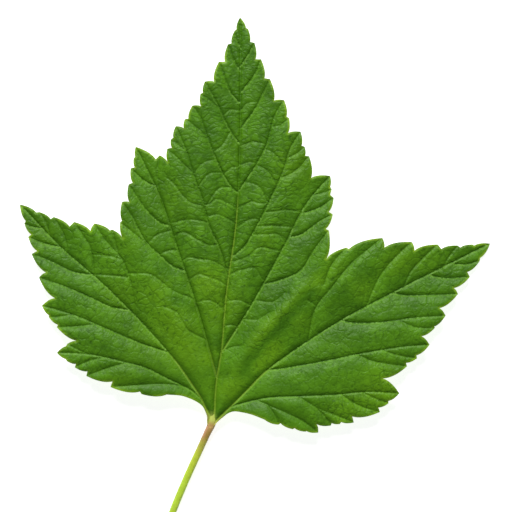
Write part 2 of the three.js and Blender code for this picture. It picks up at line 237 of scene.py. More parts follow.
# The links from one side vein to the next.
LINK_VEINS: tuple[Path, ...] = (
    ((-3.1, 23.1), (-7.4, 24.9), (-9.9, 26.9), (-11.9, 28.1), (-15.9, 28.2)),
    ((-0.8, 15.1), (-3.1, 16.2), (-4.5, 17.2), (-6.4, 20.4), (-9, 21.6)),
    ((-1.2, 41.7), (-3.6, 42.3), (-5.8, 44.3), (-6.8, 45.8), (-8.6, 47.4)),
    ((-1.2, 41.7), (0.3, 42.2), (1.3, 43.1), (2.6, 42.7), (5.4, 41.2)),
    ((5.2, 38.2), (3.1, 39.4), (1.3, 40), (-0.4, 39.3)),
    ((1.5, 34), (0, 33.8), (-2.7, 35.1), (-5.3, 36.5), (-7.2, 35.4)),
    ((-0.1, 38.3), (-2.4, 38.8), (-4.6, 38.9), (-6.7, 38.4), (-8.2, 38.2)),
    ((3.9, 29), (0.3, 30.8), (-1.8, 31), (-4.2, 31.4), (-5.6, 30.6)),
    ((3.5, 25.8), (1.6, 26.9), (-0.3, 27.5), (-1.8, 28.1), (-3.3, 27.5), (-4.2, 26.6)),
    ((3.1, 20.6), (1.3, 22.3), (-0.3, 22.9), (-2.6, 22.4)),
    ((4, 27.8), (5.2, 28.5), (6.8, 29), (9.2, 29.3), (10.2, 27.6), (11.4, 26.4)),
    ((4.5, 30.5), (6.5, 31.1), (8, 31.8), (9.8, 33.4), (12.4, 33), (14.4, 32.6)),
    ((8.4, 35.9), (11.4, 36), (13.8, 36), (15.2, 34.2)),
    ((9.4, 37.6), (12.3, 37.7), (14.4, 37.6), (17, 37.4)),
    ((10.9, 40.4), (13.5, 40.6), (14.9, 40.9), (18.4, 40.4)),
    ((5.6, 41.4), (7.1, 41.9), (8.4, 42.6), (10, 42.1), (11.5, 42.3)),
    ((5.5, 37.4), (7.7, 38.8), (8.9, 39.1), (10, 38.9)),
    ((2.8, 12.7), (4.6, 13.6), (6.4, 13.8)),
    ((9.1, 22.9), (11, 22.6), (12.8, 22.6), (15.2, 24.4)),
    ((6.9, 19.2), (8.4, 19), (9.6, 19), (12, 20.4)),
    ((5.7, 17.5), (4.6, 18), (2.9, 17.6)),
    ((8.2, 21.8), (6, 22.9), (3.4, 22.6)),
    ((2.9, 47.9), (4.3, 49.3), (6.1, 49.4)),
    ((6, 49.6), (7.8, 50.4), (9.4, 50.2)),
    ((0.8, 52.4), (2.6, 53.8), (4.2, 56.6)),
    ((6.2, 53.6), (8.4, 54.4), (11.4, 54)),
    ((2.7, 59.6), (4.2, 60.9), (6.1, 60.6)),
    ((6.3, 60.8), (7.6, 62.2), (9.8, 62.4)),
    ((-0.9, 41.2), (2, 45.2), (4.4, 45.4)),
    ((-2.2, 45.4), (-0.2, 48), (2.6, 48.4)),
    ((-3.2, 48), (-1, 50.4), (1.4, 51)),
    ((11.6, 42.4), (9.8, 45.6), (7.2, 46.5)),
    ((13.4, 45.8), (11.6, 48.6), (9.3, 50)),
    ((15, 49.6), (13, 52), (11, 53.2)),
    ((19.6, 22.9), (20.6, 22.2), (21.4, 21.6)),
    ((-16.1, 27.4), (-19.4, 27.8), (-22.6, 28)),
    ((-17.6, 31), (-20.6, 31.8), (-23.5, 32)),
    ((-7.6, 36.8), (-10.6, 35.8), (-12, 34.3)),
    ((-6.2, 32.8), (-8, 32.8), (-9.8, 32)),
)

# The crease that stands up between the right lobe and the middle one.
FOLD_PATH: Path = ((4.2, 8.2), (7, 12.4), (10.1, 16.2), (13.4, 19.8), (17.8, 24.4), (20.5, 27.4))

# The stalk's middle line, from under the midrib to the twig end.
STALK_PATH = (
    (1.15, 2.2, 1.75), (0.8, 0.2, 1.7), (0.4, -1.9, 1.82), (-0.45, -3.7, 1.75), (-1.4, -5.8, 1.55),
    (-4.6, -12.8, 1.05), (-7.5, -19.8, 0.8), (-11, -29.5, 0.75), (-13.2, -38, 1.05), (-13.7, -42.5, 1.3),
)

# Soft patches of colour on the blade, partly the leaf's own yellow and dark patches and partly painted light
# and shade.
# One patch is the x and y of its middle, its radius, and its strength, which is yellow above 0 and dark below
# it.
TONE_PATCHES = (
    (-6.8, 18.0, 4.5, 0.7), (-10.0, 25.0, 4.0, 0.6), (11.5, 34.5, 2.5, 0.4), (-1.0, 26.5, 3.0, 0.7),
    (-4.0, 12.0, 4.0, 0.8), (3.6, 21.0, 4.0, 0.6), (4.0, 5.0, 2.8, 1.0), (13.0, 12.0, 3.0, 0.3),
    (0.3, 11.5, 1.8, 0.8), (-0.5, 5.0, 3.0, 0.4), (-18.0, 6.5, 3.0, 0.4), (35.0, 4.5, 5.0, 0.9),
    (-18.0, 24.0, 3.5, 0.5), (17.0, 50.0, 4.0, 0.6), (30.5, 24.5, 2.5, 0.6), (38.0, 30.5, 4.0, 0.6),
    (12.3, 65.5, 3.0, -0.9), (18.0, 35.0, 3.5, -0.8), (18.5, 18.5, 2.5, 0.5), (12.0, 11.5, 2.0, 0.6),
    (1.0, 19.0, 2.5, 0.3), (12.0, 24.5, 2.8, -0.9), (-6.0, 24.0, 2.5, -0.4), (27.0, 18.0, 4.5, -0.6),
    (39.0, 24.0, 4.0, -0.6), (6.5, 12.5, 2.0, -0.4), (18.5, 12.0, 2.5, -0.5), (48.0, 26.0, 3.0, -0.3),
    (2.0, 26.5, 4.5, 0.4), (-12.0, 14.0, 6.0, 0.35), (27.0, 0.5, 4.0, 0.5), (18.0, 30.5, 3.0, -0.3),
    (11.0, 1.5, 2.5, -0.35), (7.0, 63.0, 5.0, -0.25), (-16.0, 35.0, 4.0, 0.25), (-9.0, 29.5, 3.5, -0.25),
    (-6.5, 43.0, 4.5, 0.3), (5.5, 53.0, 3.5, 0.3), (-5.5, 54.5, 2.5, -0.3), (21.5, 26.6, 2.0, 0.8),
    (25.0, 29.5, 2.5, 0.5), (9.8, 9.8, 1.6, 0.9), (13.2, 13.4, 1.8, 0.6), (-33.0, 36.0, 3.5, 0.4),
    (-30.0, 29.5, 2.5, -0.25), (6.5, 6.5, 2.0, 0.35), (12.5, 5.5, 2.5, -0.3), (45.5, 30.0, 4.0, 0.3),
    (-6.0, 23.5, 2.0, -0.3),
)


# --------------------------------------------------------------------------------------------------------
# Whole-array geometry
# --------------------------------------------------------------------------------------------------------

CURVE_SAMPLES = 24  # samples between two corners of a path, before they are spaced out
ABOVE_GAIN = 1.8  # how soon a place beside a path counts as fully above or below it
HASH_FACTORS = (127.1, 311.7, 74.7)
HASH_SCALE = 43758.5453
SEED_INSET = 0.15  # how far a cell's seed stays from the sides of its unit square
FAR = 9.0  # a distance beyond any that is looked for


def smooth_path(points: tuple, step: float) -> np.ndarray:
    """Centripetal Catmull-Rom curve through the points, by Barry and Goldman's three rounds of blending.

    Args:
        points: the corners, in two or three dimensions.
        step: the wanted distance between samples.

    Returns:
        Samples on the curve, evenly spaced along it, with both ends.
    """
    knots = np.asarray(points, dtype=float)
    padded = np.vstack([2 * knots[0] - knots[1], knots, 2 * knots[-1] - knots[-2]])
    gaps = np.sqrt(np.linalg.norm(np.diff(padded, axis=0), axis=1))
    share = np.linspace(0, 1, CURVE_SAMPLES, endpoint=False)[:, None]
    pieces = []
    for i in range(len(knots) - 1):
        a, b, c, d = padded[i : i + 4]
        t0, t1, t2, t3 = np.cumsum([0, *gaps[i : i + 3]])
        t = t1 + share * (t2 - t1)
        ab = (t1 - t) / (t1 - t0) * a + (t - t0) / (t1 - t0) * b
        bc = (t2 - t) / (t2 - t1) * b + (t - t1) / (t2 - t1) * c
        cd = (t3 - t) / (t3 - t2) * c + (t - t2) / (t3 - t2) * d
        abc = (t2 - t) / (t2 - t0) * ab + (t - t0) / (t2 - t0) * bc
        bcd = (t3 - t) / (t3 - t1) * bc + (t - t1) / (t3 - t1) * cd
        pieces.append((t2 - t) / (t2 - t1) * abc + (t - t1) / (t2 - t1) * bcd)
    return spaced(np.vstack([*pieces, knots[-1:]]), step)


def spaced(line: np.ndarray, step: float) -> np.ndarray:
    """Resamples a polyline at even distances, keeping both ends.

    Args:
        line: the corners, one row each.
        step: about how far apart the samples are.

    Returns:
        The samples, one row each.
    """
    run = np.concatenate([[0], np.cumsum(np.linalg.norm(np.diff(line, axis=0), axis=1))])
    wanted = np.linspace(0, run[-1], max(2, int(round(run[-1] / step)) + 1))
    return np.stack([np.interp(wanted, run, line[:, k]) for k in range(line.shape[1])], axis=1)


@dataclass(frozen=True)
class Nearest:
    """For each point of a plan, what the nearest place on a path is like."""

    distance: np.ndarray
    run: np.ndarray
    side: np.ndarray
    share: np.ndarray
    above: np.ndarray


def nearest_on(plan: np.ndarray, path: np.ndarray) -> Nearest:
    """Measures each point against a path: the foot on each segment is the clamped projection.

    Args:
        plan: points, one row each.
        path: the corners of the path.

    Returns:
        The distance, the run along the path to the foot, the side (+1 left, -1 right), the run's share of
        the whole length, and how clearly the point lies on the leaf-point side of the path (-1 to 1).
    """
    start = path[:-1]
    way = np.diff(path, axis=0)
    length = np.linalg.norm(way, axis=1)
    gap = plan[:, None, :] - start
    along = np.clip((gap * way).sum(axis=2) / length**2, 0, 1)
    off = gap - along[..., None] * way
    squared = (off**2).sum(axis=2)
    best = squared.argmin(axis=1)
    row = np.arange(len(plan))
    run = np.concatenate([[0], np.cumsum(length)])[best] + along[row, best] * length[best]
    cross = way[best, 0] * gap[row, best, 1] - way[best, 1] * gap[row, best, 0]
    distance = np.sqrt(squared[row, best])
    above = np.clip(ABOVE_GAIN * off[row, best, 1] / np.maximum(distance, 1e-6), -1, 1)
    share = np.clip(run / length.sum(), 0, 1)
    return Nearest(distance, run, np.where(cross < 0, -1.0, 1.0), share, above)


def within(plan: np.ndarray, path: np.ndarray, reach: float) -> np.ndarray:
    """Finds the points near a path's bounding box.

    Args:
        plan: points, one row each.
        path: the corners of the path.
        reach: how far outside the box a point may lie.

    Returns:
        The indices of those points.
    """
    low = path.min(axis=0) - reach
    high = path.max(axis=0) + reach
    return np.flatnonzero(((plan >= low) & (plan <= high)).all(axis=1))


def between(pair: tuple[float, float], share: np.ndarray) -> np.ndarray:
    """Values that run evenly from the pair's first number at share 0 to its second at share 1."""
    return pair[0] + (pair[1] - pair[0]) * share


def ramp(value: np.ndarray, start: float, end: float) -> np.ndarray:
    """Smoothstep from 0 at start to 1 at end, which may lie either way round."""
    share = np.clip((value - start) / (end - start), 0, 1)
    return share * share * (3 - 2 * share)


def hashed(*lattice: np.ndarray) -> np.ndarray:
    """A repeatable number from 0 to 1 for each lattice place: the fraction of a large sine."""
    mixed = sum(axis * factor for axis, factor in zip(lattice, HASH_FACTORS))
    return np.modf(np.abs(np.sin(mixed + SEED) * HASH_SCALE))[0]


def soft_noise(plan: np.ndarray, scale: float, salt: float) -> np.ndarray:
    """Value noise: hashed numbers on a square lattice, blended by smoothstep in both directions.

    Args:
        plan: points, one row each.
        scale: the side of the lattice's squares.
        salt: moves the lattice, so that each use has its own noise.

    Returns:
        Values from -1 to 1.
    """
    place = plan / scale + salt
    cell = np.floor(place)
    share = place - cell
    share = share * share * (3 - 2 * share)
    x, y = cell.T
    sx, sy = share.T
    low = hashed(x, y) * (1 - sx) + hashed(x + 1, y) * sx
    high = hashed(x, y + 1) * (1 - sx) + hashed(x + 1, y + 1) * sx
    return 2 * (low * (1 - sy) + high * sy) - 1


def cell_walls(place: np.ndarray) -> np.ndarray:
    """How far each place is from the walls of a cell pattern.

    Each unit square has one hashed seed. The result is the distance to the second-nearest seed minus the
    distance to the nearest.

    Args:
        place: places, one row each, in cells.

    Returns:
        The differences, which are 0 on the walls.
    """
    cell = np.floor(place)
    first = np.full(len(place), FAR)
    second = np.full(len(place), FAR)
    spread = 1 - 2 * SEED_INSET
    for dx in (-1, 0, 1):
        for dy in (-1, 0, 1):
            x = cell[:, 0] + dx
            y = cell[:, 1] + dy
            seed_x = x + SEED_INSET + spread * hashed(x, y, np.ones_like(x))
            seed_y = y + SEED_INSET + spread * hashed(x, y, np.full_like(x, 2.0))
            gap = np.hypot(place[:, 0] - seed_x, place[:, 1] - seed_y)
            second = np.minimum(second, np.maximum(first, gap))
            first = np.minimum(first, gap)
    return second - first


# --------------------------------------------------------------------------------------------------------
# The blade
# --------------------------------------------------------------------------------------------------------


@dataclass(frozen=True)
class VeinForm:
    """How the veins of one rank run. Pairs are the values at a vein's start and at its end."""

    groove: tuple[float, float]  # half width of the groove on the upper side
    depth: tuple[float, float]
    rib: tuple[float, float]  # radius of the rib that stands out below
    line: tuple[float, float]  # half width of the vein's own line


VEIN_FORMS = {
    Rank.RIB: VeinForm((0.95, 0.45), (0.44, 0.26), (0.62, 0.16), (0.22, 0.12)),
    Rank.SIDE: VeinForm((0.55, 0.4), (0.35, 0.2), (0.34, 0.12), (0.14, 0.1)),
    Rank.BRANCH: VeinForm((0.42, 0.34), (0.18, 0.13), (0.22, 0.1), (0.12, 0.1)),
    Rank.LINK: VeinForm((0.42, 0.36), (0.2, 0.14), (0.13, 0.09), (0.1, 0.1)),
}
# How pale the line of each rib is at the stalk and further out, and the share of its length where that ends.
# The lines of the other veins are no paler than the blade.
RIB_GLOWS = ((0.9, 0.42, 0.57), (0.9, 0.4, 0.28), (0.9, 0.4, 0.26), (0.35, 0.05, 0.2), (0.35, 0.05, 0.2))


@dataclass
class VeinMarks:
    """What the veins do at each point of a plan."""

    groove: np.ndarray  # depth of the grooves above
    rib: np.ndarray  # height of the ribs below
    swell: np.ndarray  # how much the blade swells up between the larger veins, and between all of them
    fine_swell: np.ndarray
    gap: np.ndarray  # distance to the nearest vein, then the same in half widths of its groove
    near: np.ndarray
    above: np.ndarray  # how clearly the point lies on the vein's upper side
    cut: np.ndarray  # how deep that vein is, against a full one
    across: np.ndarray  # distance to the nearest vein in half widths of its own line
    glow: np.ndarray  # how pale that line is
    run: np.ndarray  # the run along the nearest rib or side vein, and the signed distance from it
    off: np.ndarray
    sure: np.ndarray  # how surely that vein is the nearest: 0 half-way between two


@dataclass
class Venation:
    """All the veins of the blade."""

    sample: float = 0.7
    reach: float = 9.0
    small_reach: float = 3.0
    lean: float = 0.5
    sharpness: float = 1.3
    rib_spread: float = 1.5
    rib_rise: float = 1.3
    swell_reach: float = 2.2
    swell_lean: float = 0.4
    branch_share: float = 0.5
    fine_reach: float = 0.95
    full_depth: float = 0.4
    glow_reach: float = 4.0
    run_gap: float = 40.0
    veins: list[tuple[Rank, np.ndarray]] = field(default_factory=list)

    def __post_init__(self) -> None:
        """Turns the paths into smooth lines."""
        for rank, paths in zip(Rank, (RIBS, SIDE_VEINS, BRANCH_VEINS, LINK_VEINS)):
            self.veins += [(rank, smooth_path(path, self.sample)) for path in paths]

    def mark(self, plan: np.ndarray) -> VeinMarks:
        """Adds up the veins at each point.

        A groove is nearly a V: its depth times (1 - distance / width)^sharpness, and the deepest one counts.
        It is wide on the side of the vein that lies towards the leaf's point, and steep on the other. A rib
        is the upper half of an ellipse. The blade's swelling is the product, over the veins, of
        1 - exp(-(distance / reach)^1.6).

        Args:
            plan: points of the blade.

        Returns:
            The marks at each point.
        """
        count = len(plan)
        marks = VeinMarks(*(np.zeros(count) for _ in fields(VeinMarks)))
        marks.swell += 1
        marks.fine_swell += 1
        marks.across += FAR
        marks.gap += FAR
        marks.near += FAR
        nearest = np.full(count, self.reach)
        second = np.full(count, self.reach)
        for number, (rank, line) in enumerate(self.veins):
            form = VEIN_FORMS[rank]
            large = rank in (Rank.RIB, Rank.SIDE)
            rows = within(plan, line, self.reach if large else self.small_reach)
            near = nearest_on(plan[rows], line)
            groove, depth, radius, own_line = (
                between(pair, near.share) for pair in (form.groove, form.depth, form.rib, form.line)
            )
            width = groove * (1 + self.lean * near.above)
            bowl = np.clip(1 - near.distance / width, 0, 1) ** self.sharpness
            marks.groove[rows] = np.maximum(marks.groove[rows], depth * bowl)
            round_rib = np.sqrt(np.clip(1 - (near.distance / (self.rib_spread * radius)) ** 2, 0, 1))
            marks.rib[rows] = np.maximum(marks.rib[rows], self.rib_rise * radius * round_rib)
            if rank is not Rank.LINK:
                reach = self.swell_reach * (1.0 if large else self.branch_share)
                reach = reach * (1 + self.swell_lean * near.above)
                marks.swell[rows] *= 1 - np.exp(-((near.distance / reach) ** 1.6))
            marks.fine_swell[rows] *= 1 - np.exp(-((near.distance / self.fine_reach) ** 2))
            closer = near.distance < marks.gap[rows]
            marks.gap[rows[closer]] = near.distance[closer]
            marks.near[rows[closer]] = (near.distance / groove)[closer]
            marks.above[rows[closer]] = near.above[closer]
            marks.cut[rows[closer]] = depth[closer] / self.full_depth
            ratio = near.distance / own_line
            closer = ratio < marks.across[rows]
            marks.across[rows[closer]] = ratio[closer]
            glow = np.zeros(len(rows))
            if rank is Rank.RIB:
                first, later, end = RIB_GLOWS[number]
                glow = later + (first - later) * np.exp(-((near.run / self.glow_reach) ** 2))
                glow = glow * (1 - ramp(near.share, end - 0.06, end + 0.02))
            marks.glow[rows[closer]] = glow[closer]
            if large:
                closer = near.distance < nearest[rows]
                second[rows] = np.where(closer, nearest[rows], np.minimum(second[rows], near.distance))
                nearest[rows] = np.minimum(nearest[rows], near.distance)
                marks.run[rows[closer]] = near.run[closer] + self.run_gap * number
                marks.off[rows[closer]] = (near.distance * near.side)[closer]
        marks.sure = ramp(second - nearest, 0.1, 0.9)
        return marks


@dataclass(frozen=True)
class Relief:
    """The large relief of the blade over the table.

    The ribs set the height, shared by closeness. Between them the blade swells up, far from them it droops,
    and a crease stands up beside the right lobe.
    """

    puff: float = 0.8
    puff_reach: float = 5.0
    droop: float = 0.6
    droop_start: float = 6.5
    droop_span: float = 10.0
    softness: float = 2.0
    fold_height: float = 0.5
    fold_width: float = 1.25
    # Where the band painted darker as shade at the crease's foot lies, right of the crease, and how wide it
    # is.
    foot_offset: float = 2.0
    foot_width: float = 0.6
    # Heights at the start, the middle and the end of each rib.
    rib_heights: tuple[tuple[float, float, float], ...] = (
        (2.5, 2.9, 0.35), (2.5, 2.8, 0.3), (2.5, 2.9, 0.3), (2.8, 3.1, 2.0), (2.8, 3.1, 2.0),
    )

    def height(self, plan: np.ndarray) -> np.ndarray:
        """The height of the blade's middle surface.

        Along a rib the height is the parabola through its three heights. Between the ribs it is their mean,
        weighted by 1 / (distance^2 + softness^2)^2. The swelling is puff * (1 - exp(-(distance / reach)^2)),
        and the droop grows with the square of the distance beyond its start.

        Args:
            plan: points of the blade.

        Returns:
            Heights in millimetres.
        """
        total = np.zeros(len(plan))
        weights = np.zeros(len(plan))
        nearest = np.full(len(plan), 99.0)
        for path, (start, middle, end) in zip(RIBS, self.rib_heights):
            near = nearest_on(plan, smooth_path(path, 2.0))
            s = near.share
            rise = start * (1 - s) * (1 - 2 * s) + 4 * middle * s * (1 - s) + end * s * (2 * s - 1)
            weight = 1 / (near.distance**2 + self.softness**2) ** 2
            total += weight * rise
            weights += weight
            nearest = np.minimum(nearest, near.distance)
        swelling = self.puff * (1 - np.exp(-((nearest / self.puff_reach) ** 2)))
        droop = self.droop * (np.maximum(0, nearest - self.droop_start) / self.droop_span) ** 2
        return total / weights + swelling - droop + self.fold_height * self.crease(plan)

    def beside_fold(self, plan: np.ndarray, offset: float, width: float) -> np.ndarray:
        """How much each point belongs to a band along the crease, from 0 to 1.

        Across, the band is a bell round its middle. Along, it is a power of half a sine wave.

        Args:
            plan: points of the blade.
            offset: how far to the right of the crease the band's middle lies.
            width: the bell's width.

        Returns:
            The shares.
        """
        fold = nearest_on(plan, smooth_path(FOLD_PATH, 1.0))
        bell = np.exp(-(((fold.distance * fold.side + offset) / width) ** 2))
        return np.abs(np.sin(np.pi * fold.share)) ** 0.7 * bell

    def crease(self, plan: np.ndarray) -> np.ndarray:
        """How much each point belongs to the crease, from 0 to 1."""
        return self.beside_fold(plan, 0.0, self.fold_width)

    def foot_shade(self, plan: np.ndarray) -> np.ndarray:
        """How much each point belongs to the foot of the crease, on its right, from 0 to 1, where the blade
        is painted darker as shade.
        """
        return self.beside_fold(plan, self.foot_offset, self.foot_width)


@dataclass
class Margin:
    """The toothed outline of the blade, as a closed loop seen from above."""

    bulge: float = 0.085
    slide: float = 0.14
    straight: float = 1.3
    step: float = 0.3

    def corners(self) -> np.ndarray:
        """Joins the outline's parts.

        Returns:
            The tips, notches and smooth places of the whole margin, clockwise from the stalk's left.
        """

        def outwards(rows: tuple) -> list:
            """Each tooth's tip and notch, in order."""
            return [place for row in rows for place in (row[:2], row[2:])]

        def inwards(rows: tuple) -> list:
            """The same from the last notch back to the first tip."""
            return outwards(rows)[::-1]

        return np.array([
            *BASE_LEFT, *outwards(LEFT_LOBE_LOWER), LEFT_LOBE_POINT, *inwards(LEFT_LOBE_UPPER), LEFT_SINUS,
            *outwards(LEFT_SHOULDER), LEFT_SHOULDER_POINT, *inwards(LEFT_SHOULDER_INNER), LEFT_CORNER,
            *outwards(MIDDLE_LOBE_LEFT), LEAF_POINT, *inwards(MIDDLE_LOBE_RIGHT), RIGHT_CORNER,
            RIGHT_SHOULDER_POINT, *inwards(RIGHT_SHOULDER), RIGHT_SINUS, *outwards(RIGHT_LOBE_UPPER),
            RIGHT_LOBE_POINT, *inwards(RIGHT_LOBE_LOWER), *BASE_RIGHT[::-1],
        ])  # fmt: skip

    def loop(self) -> np.ndarray:
        """The margin's points: each long side of a tooth is a quadratic curve that bows outwards, more so
        near the notch than near the tip.

        Returns:
            The loop's points, one row each, without a repeated last point.
        """
        corners = self.corners()
        before, after = np.roll(corners, 1, axis=0) - corners, np.roll(corners, -1, axis=0) - corners
        tips = before[:, 0] * after[:, 1] - before[:, 1] * after[:, 0] > 0
        smooth = len(BASE_LEFT)
        pieces = [smooth_path(tuple(map(tuple, corners[:smooth])), self.step)[:-1]]
        for i in range(smooth - 1, len(corners) - smooth):
            start, end = corners[i : i + 2]
            side = end - start
            length = np.hypot(*side)
            bow = 0.0 if length < self.straight else 2 * self.bulge
            slide = self.slide * (float(tips[i]) - float(tips[i + 1]))
            bend = (start + end) / 2 + slide * side + bow * np.array([-side[1], side[0]])
            t = np.linspace(0, 1, max(2, int(np.ceil(length / self.step)) + 1))[:-1, None]
            pieces.append((1 - t) ** 2 * start + 2 * t * (1 - t) * bend + t**2 * end)
        pieces.append(smooth_path(tuple(map(tuple, corners[-smooth:])), self.step))
        return np.vstack(pieces)

    def inside(self, columns: np.ndarray, heights: np.ndarray, loop: np.ndarray) -> np.ndarray:
        """The points of a lattice that lie inside the loop: an odd number of crossings lies to their left.

        Args:
            columns: the x of every point, one row for each y.
            heights: the y of every row.
            loop: the margin.

        Returns:
            The points inside, one row each.
        """
        after = np.roll(loop, -1, axis=0)
        kept = []
        for x, y in zip(columns, heights):
            cut = (loop[:, 1] > y) != (after[:, 1] > y)
            a, b = loop[cut], after[cut]
            crossings = np.sort(a[:, 0] + (y - a[:, 1]) / (b[:, 1] - a[:, 1]) * (b[:, 0] - a[:, 0]))
            odd = np.searchsorted(crossings, x) % 2 == 1
            kept.append(np.stack([x[odd], np.full(odd.sum(), y)], axis=1))
        return np.vstack(kept)


@dataclass(frozen=True)
class SkinForm:
    """How finely one skin of the blade is divided."""

    cell: float
    line_step: float
    ranks: tuple[Rank, ...]
    offset_ranks: tuple[Rank, ...]
    offset: float


UPPER_SKIN = SkinForm(0.275, 0.3, tuple(Rank), tuple(Rank), 0.24)
LOWER_SKIN = SkinForm(0.52, 0.45, (Rank.RIB, Rank.SIDE, Rank.BRANCH), (Rank.RIB, Rank.SIDE), 0.36)


@dataclass(frozen=True)
class Skin:
    """One skin of the blade: its plan, its triangles, what was measured there, and its heights."""

    upper: bool
    plan: np.ndarray
    corners: np.ndarray
    marks: VeinMarks
    edge: np.ndarray
    height: np.ndarray

    def places(self) -> np.ndarray:
        """The skin's vertices in millimetres."""
        return np.column_stack([self.plan, self.height])


@dataclass
class Blade:
    """The blade as one closed shell."""

    place: Vector
    half_thickness: float = 0.15
    rim_half: float = 0.05
    rim_width: float = 0.5
    plain_width: float = 0.35
    swell: float = 0.36
    fine_swell: float = 0.08
    wall_depth: float = 0.04
    wall_cell: tuple[float, float] = (1.5, 2.4)
    wave: float = 0.14
    wave_length: float = 8.0
    ripple: float = 0.07
    ripple_length: float = 2.6
    curl: float = 0.02
    curl_width: float = 1.2
    knot_x: float = 0.4
    relief: Relief = field(default_factory=Relief)
    venation: Venation = field(default_factory=Venation)
    margin: Margin = field(default_factory=Margin)

    def edge_distance(self, plan: np.ndarray, loop: np.ndarray, reach: float = 3.0) -> np.ndarray:
        """Measures how far points are from the margin, one stretch of it at a time.

        Args:
            plan: points of the blade.
            loop: the margin.
            reach: the largest distance that matters.

        Returns:
            The distances, no more than reach.
        """
        distance = np.full(len(plan), reach)
        closed = np.vstack([loop, loop[:1]])
        stretch = 40
        for start in range(0, len(closed) - 1, stretch):
            part = closed[start : start + stretch + 1]
            rows = within(plan, part, reach)
            distance[rows] = np.minimum(distance[rows], nearest_on(plan[rows], part).distance)
        return distance

    def vein_lines(self, form: SkinForm, loop: np.ndarray) -> tuple[np.ndarray, np.ndarray]:
        """Points along the veins and beside some of them, with the edges that run along the veins.

        Args:
            form: which veins the skin follows, and how finely.
            loop: the margin, which the lines keep clear of.

        Returns:
            The points, and pairs of their indices.
        """
        points, edges = [], []
        total = 0
        for rank, line in self.venation.veins:
            if rank not in form.ranks:
                continue
            centre = spaced(line, form.line_step)
            way = np.gradient(centre, axis=0)
            normal = np.stack([-way[:, 1], way[:, 0]], axis=1) / np.linalg.norm(way, axis=1)[:, None]
            sides = (-1, 0, 1) if rank in form.offset_ranks else (0,)
            for side in sides:
                track = centre + side * form.offset * normal
                clear = self.edge_distance(track, loop, 1.0) > 0.3
                number = np.cumsum(clear) - 1 + total
                joined = clear[:-1] & clear[1:] & (side == 0)
                edges.append(np.stack([number[:-1][joined], number[1:][joined]], axis=1))
                points.append(track[clear])
                total += int(clear.sum())
        return np.vstack(points), np.vstack(edges)

    def skin(self, form: SkinForm, loop: np.ndarray) -> tuple[np.ndarray, np.ndarray]:
        """Divides the plan inside the margin into triangles.

        Delaunay's method can fail on unlucky points. So the area is checked, and the lattice is moved a
        little as long as it is wrong.

        Args:
            form: how finely, and along which veins.
            loop: the margin.

        Returns:
            The plan's points, the margin's first and in order, and the triangles, counter-clockwise.
        """
        after = np.roll(loop, -1, axis=0)
        whole = abs((loop[:, 0] * after[:, 1] - loop[:, 1] * after[:, 0]).sum()) / 2
        for nudge in np.arange(12) * 0.017:
            plan, corners = self.divide(form, loop, nudge)
            a, b, c = (plan[corners[:, k]] for k in range(3))
            area = ((b[:, 0] - a[:, 0]) * (c[:, 1] - a[:, 1]) - (b[:, 1] - a[:, 1]) * (c[:, 0] - a[:, 0])) / 2
            if abs(np.abs(area).sum() / whole - 1) < 1e-4 and np.allclose(plan[: len(loop)], loop, atol=1e-4):
                corners[area < 0] = corners[area < 0][:, ::-1]
                return plan, corners
            LOG.info("divided again: area %.2f of %.2f", np.abs(area).sum(), whole)
        raise RuntimeError("the blade's plan could not be divided")

    def divide(self, form: SkinForm, loop: np.ndarray, nudge: float) -> tuple[np.ndarray, np.ndarray]:
        """Divides the plan once: the margin and the veins are kept, and a lattice fills the rest.

        Args:
            form: how finely, and along which veins.
            loop: the margin.
            nudge: how far the lattice is moved.

        Returns:
            The plan's points and the triangles, as skin gives them.
        """
        lines, line_edges = self.vein_lines(form, loop)
        low, high = loop.min(axis=0) - nudge, loop.max(axis=0)
        heights = np.arange(low[1], high[1], form.cell * np.sqrt(3) / 2)
        across = np.arange(low[0], high[0], form.cell)
        shift = 0.5 * form.cell * (np.arange(len(heights)) % 2)
        lattice = self.margin.inside(across + shift[:, None], heights, loop)
        keep = self.edge_distance(lattice, loop, 1.0) > 0.6 * form.cell
        for rank, line in self.venation.veins:
            if rank in form.ranks:
                rows = within(lattice, line, form.offset + form.cell)
                near = nearest_on(lattice[rows], line).distance
                width = form.offset if rank in form.offset_ranks else 0.0
                keep[rows] &= np.abs(near - width) > 0.5 * form.cell
                keep[rows] &= near > 0.5 * form.cell
        points = np.vstack([loop, lines, lattice[keep]])
        count = len(loop)
        around = np.stack([np.arange(count), np.roll(np.arange(count), -1)], axis=1)
        edges = np.vstack([around, line_edges + count])
        verts, _, faces, *_ = delaunay_2d_cdt([Vector(p) for p in points], edges.tolist(), [], 1, 1e-5)
        return np.array(verts), np.array(faces)

    def heights(self, plan: np.ndarray, marks: VeinMarks, edge: np.ndarray, upper: bool) -> np.ndarray:
        """The height of one skin at each point.

        Args:
            plan: the skin's points.
            marks: what the veins do there.
            edge: distance from the margin.
            upper: whether this is the upper skin.

        Returns:
            Heights in millimetres.
        """
        middle = self.relief.height(plan) + self.swell * marks.swell
        middle += self.wave * soft_noise(plan, self.wave_length, 3.7)
        middle += self.ripple * soft_noise(plan, self.ripple_length, 9.1)
        middle -= self.curl * (1 - ramp(edge, 0.0, self.curl_width))
        half = self.rim_half + (self.half_thickness - self.rim_half) * ramp(edge, 0.0, self.rim_width)
        body = ramp(edge, 0.0, self.plain_width)
        walls = cell_walls(np.stack([marks.run, marks.off], axis=1) / self.wall_cell)
        puckers = self.fine_swell * marks.fine_swell
        puckers += self.wall_depth * ramp(walls, 0.0, 0.35) * marks.sure * self.crinkle(plan)
        if upper:
            return middle + half + body * (puckers - marks.groove)
        return middle - half + body * (0.7 * puckers - marks.rib)

    def crinkle(self, plan: np.ndarray) -> np.ndarray:
        """How crinkled the blade is: most in the middle lobe, least at the stalk.

        Args:
            plan: points of the blade.

        Returns:
            Shares from 0 to 1.
        """
        patchy = 0.8 + 0.2 * soft_noise(plan, 4.0, 21.3)
        outer = ramp(np.hypot(*plan.T), 8.0, 26.0)
        return (0.4 + 0.5 * outer + 0.1 * self.middle(plan)) * patchy

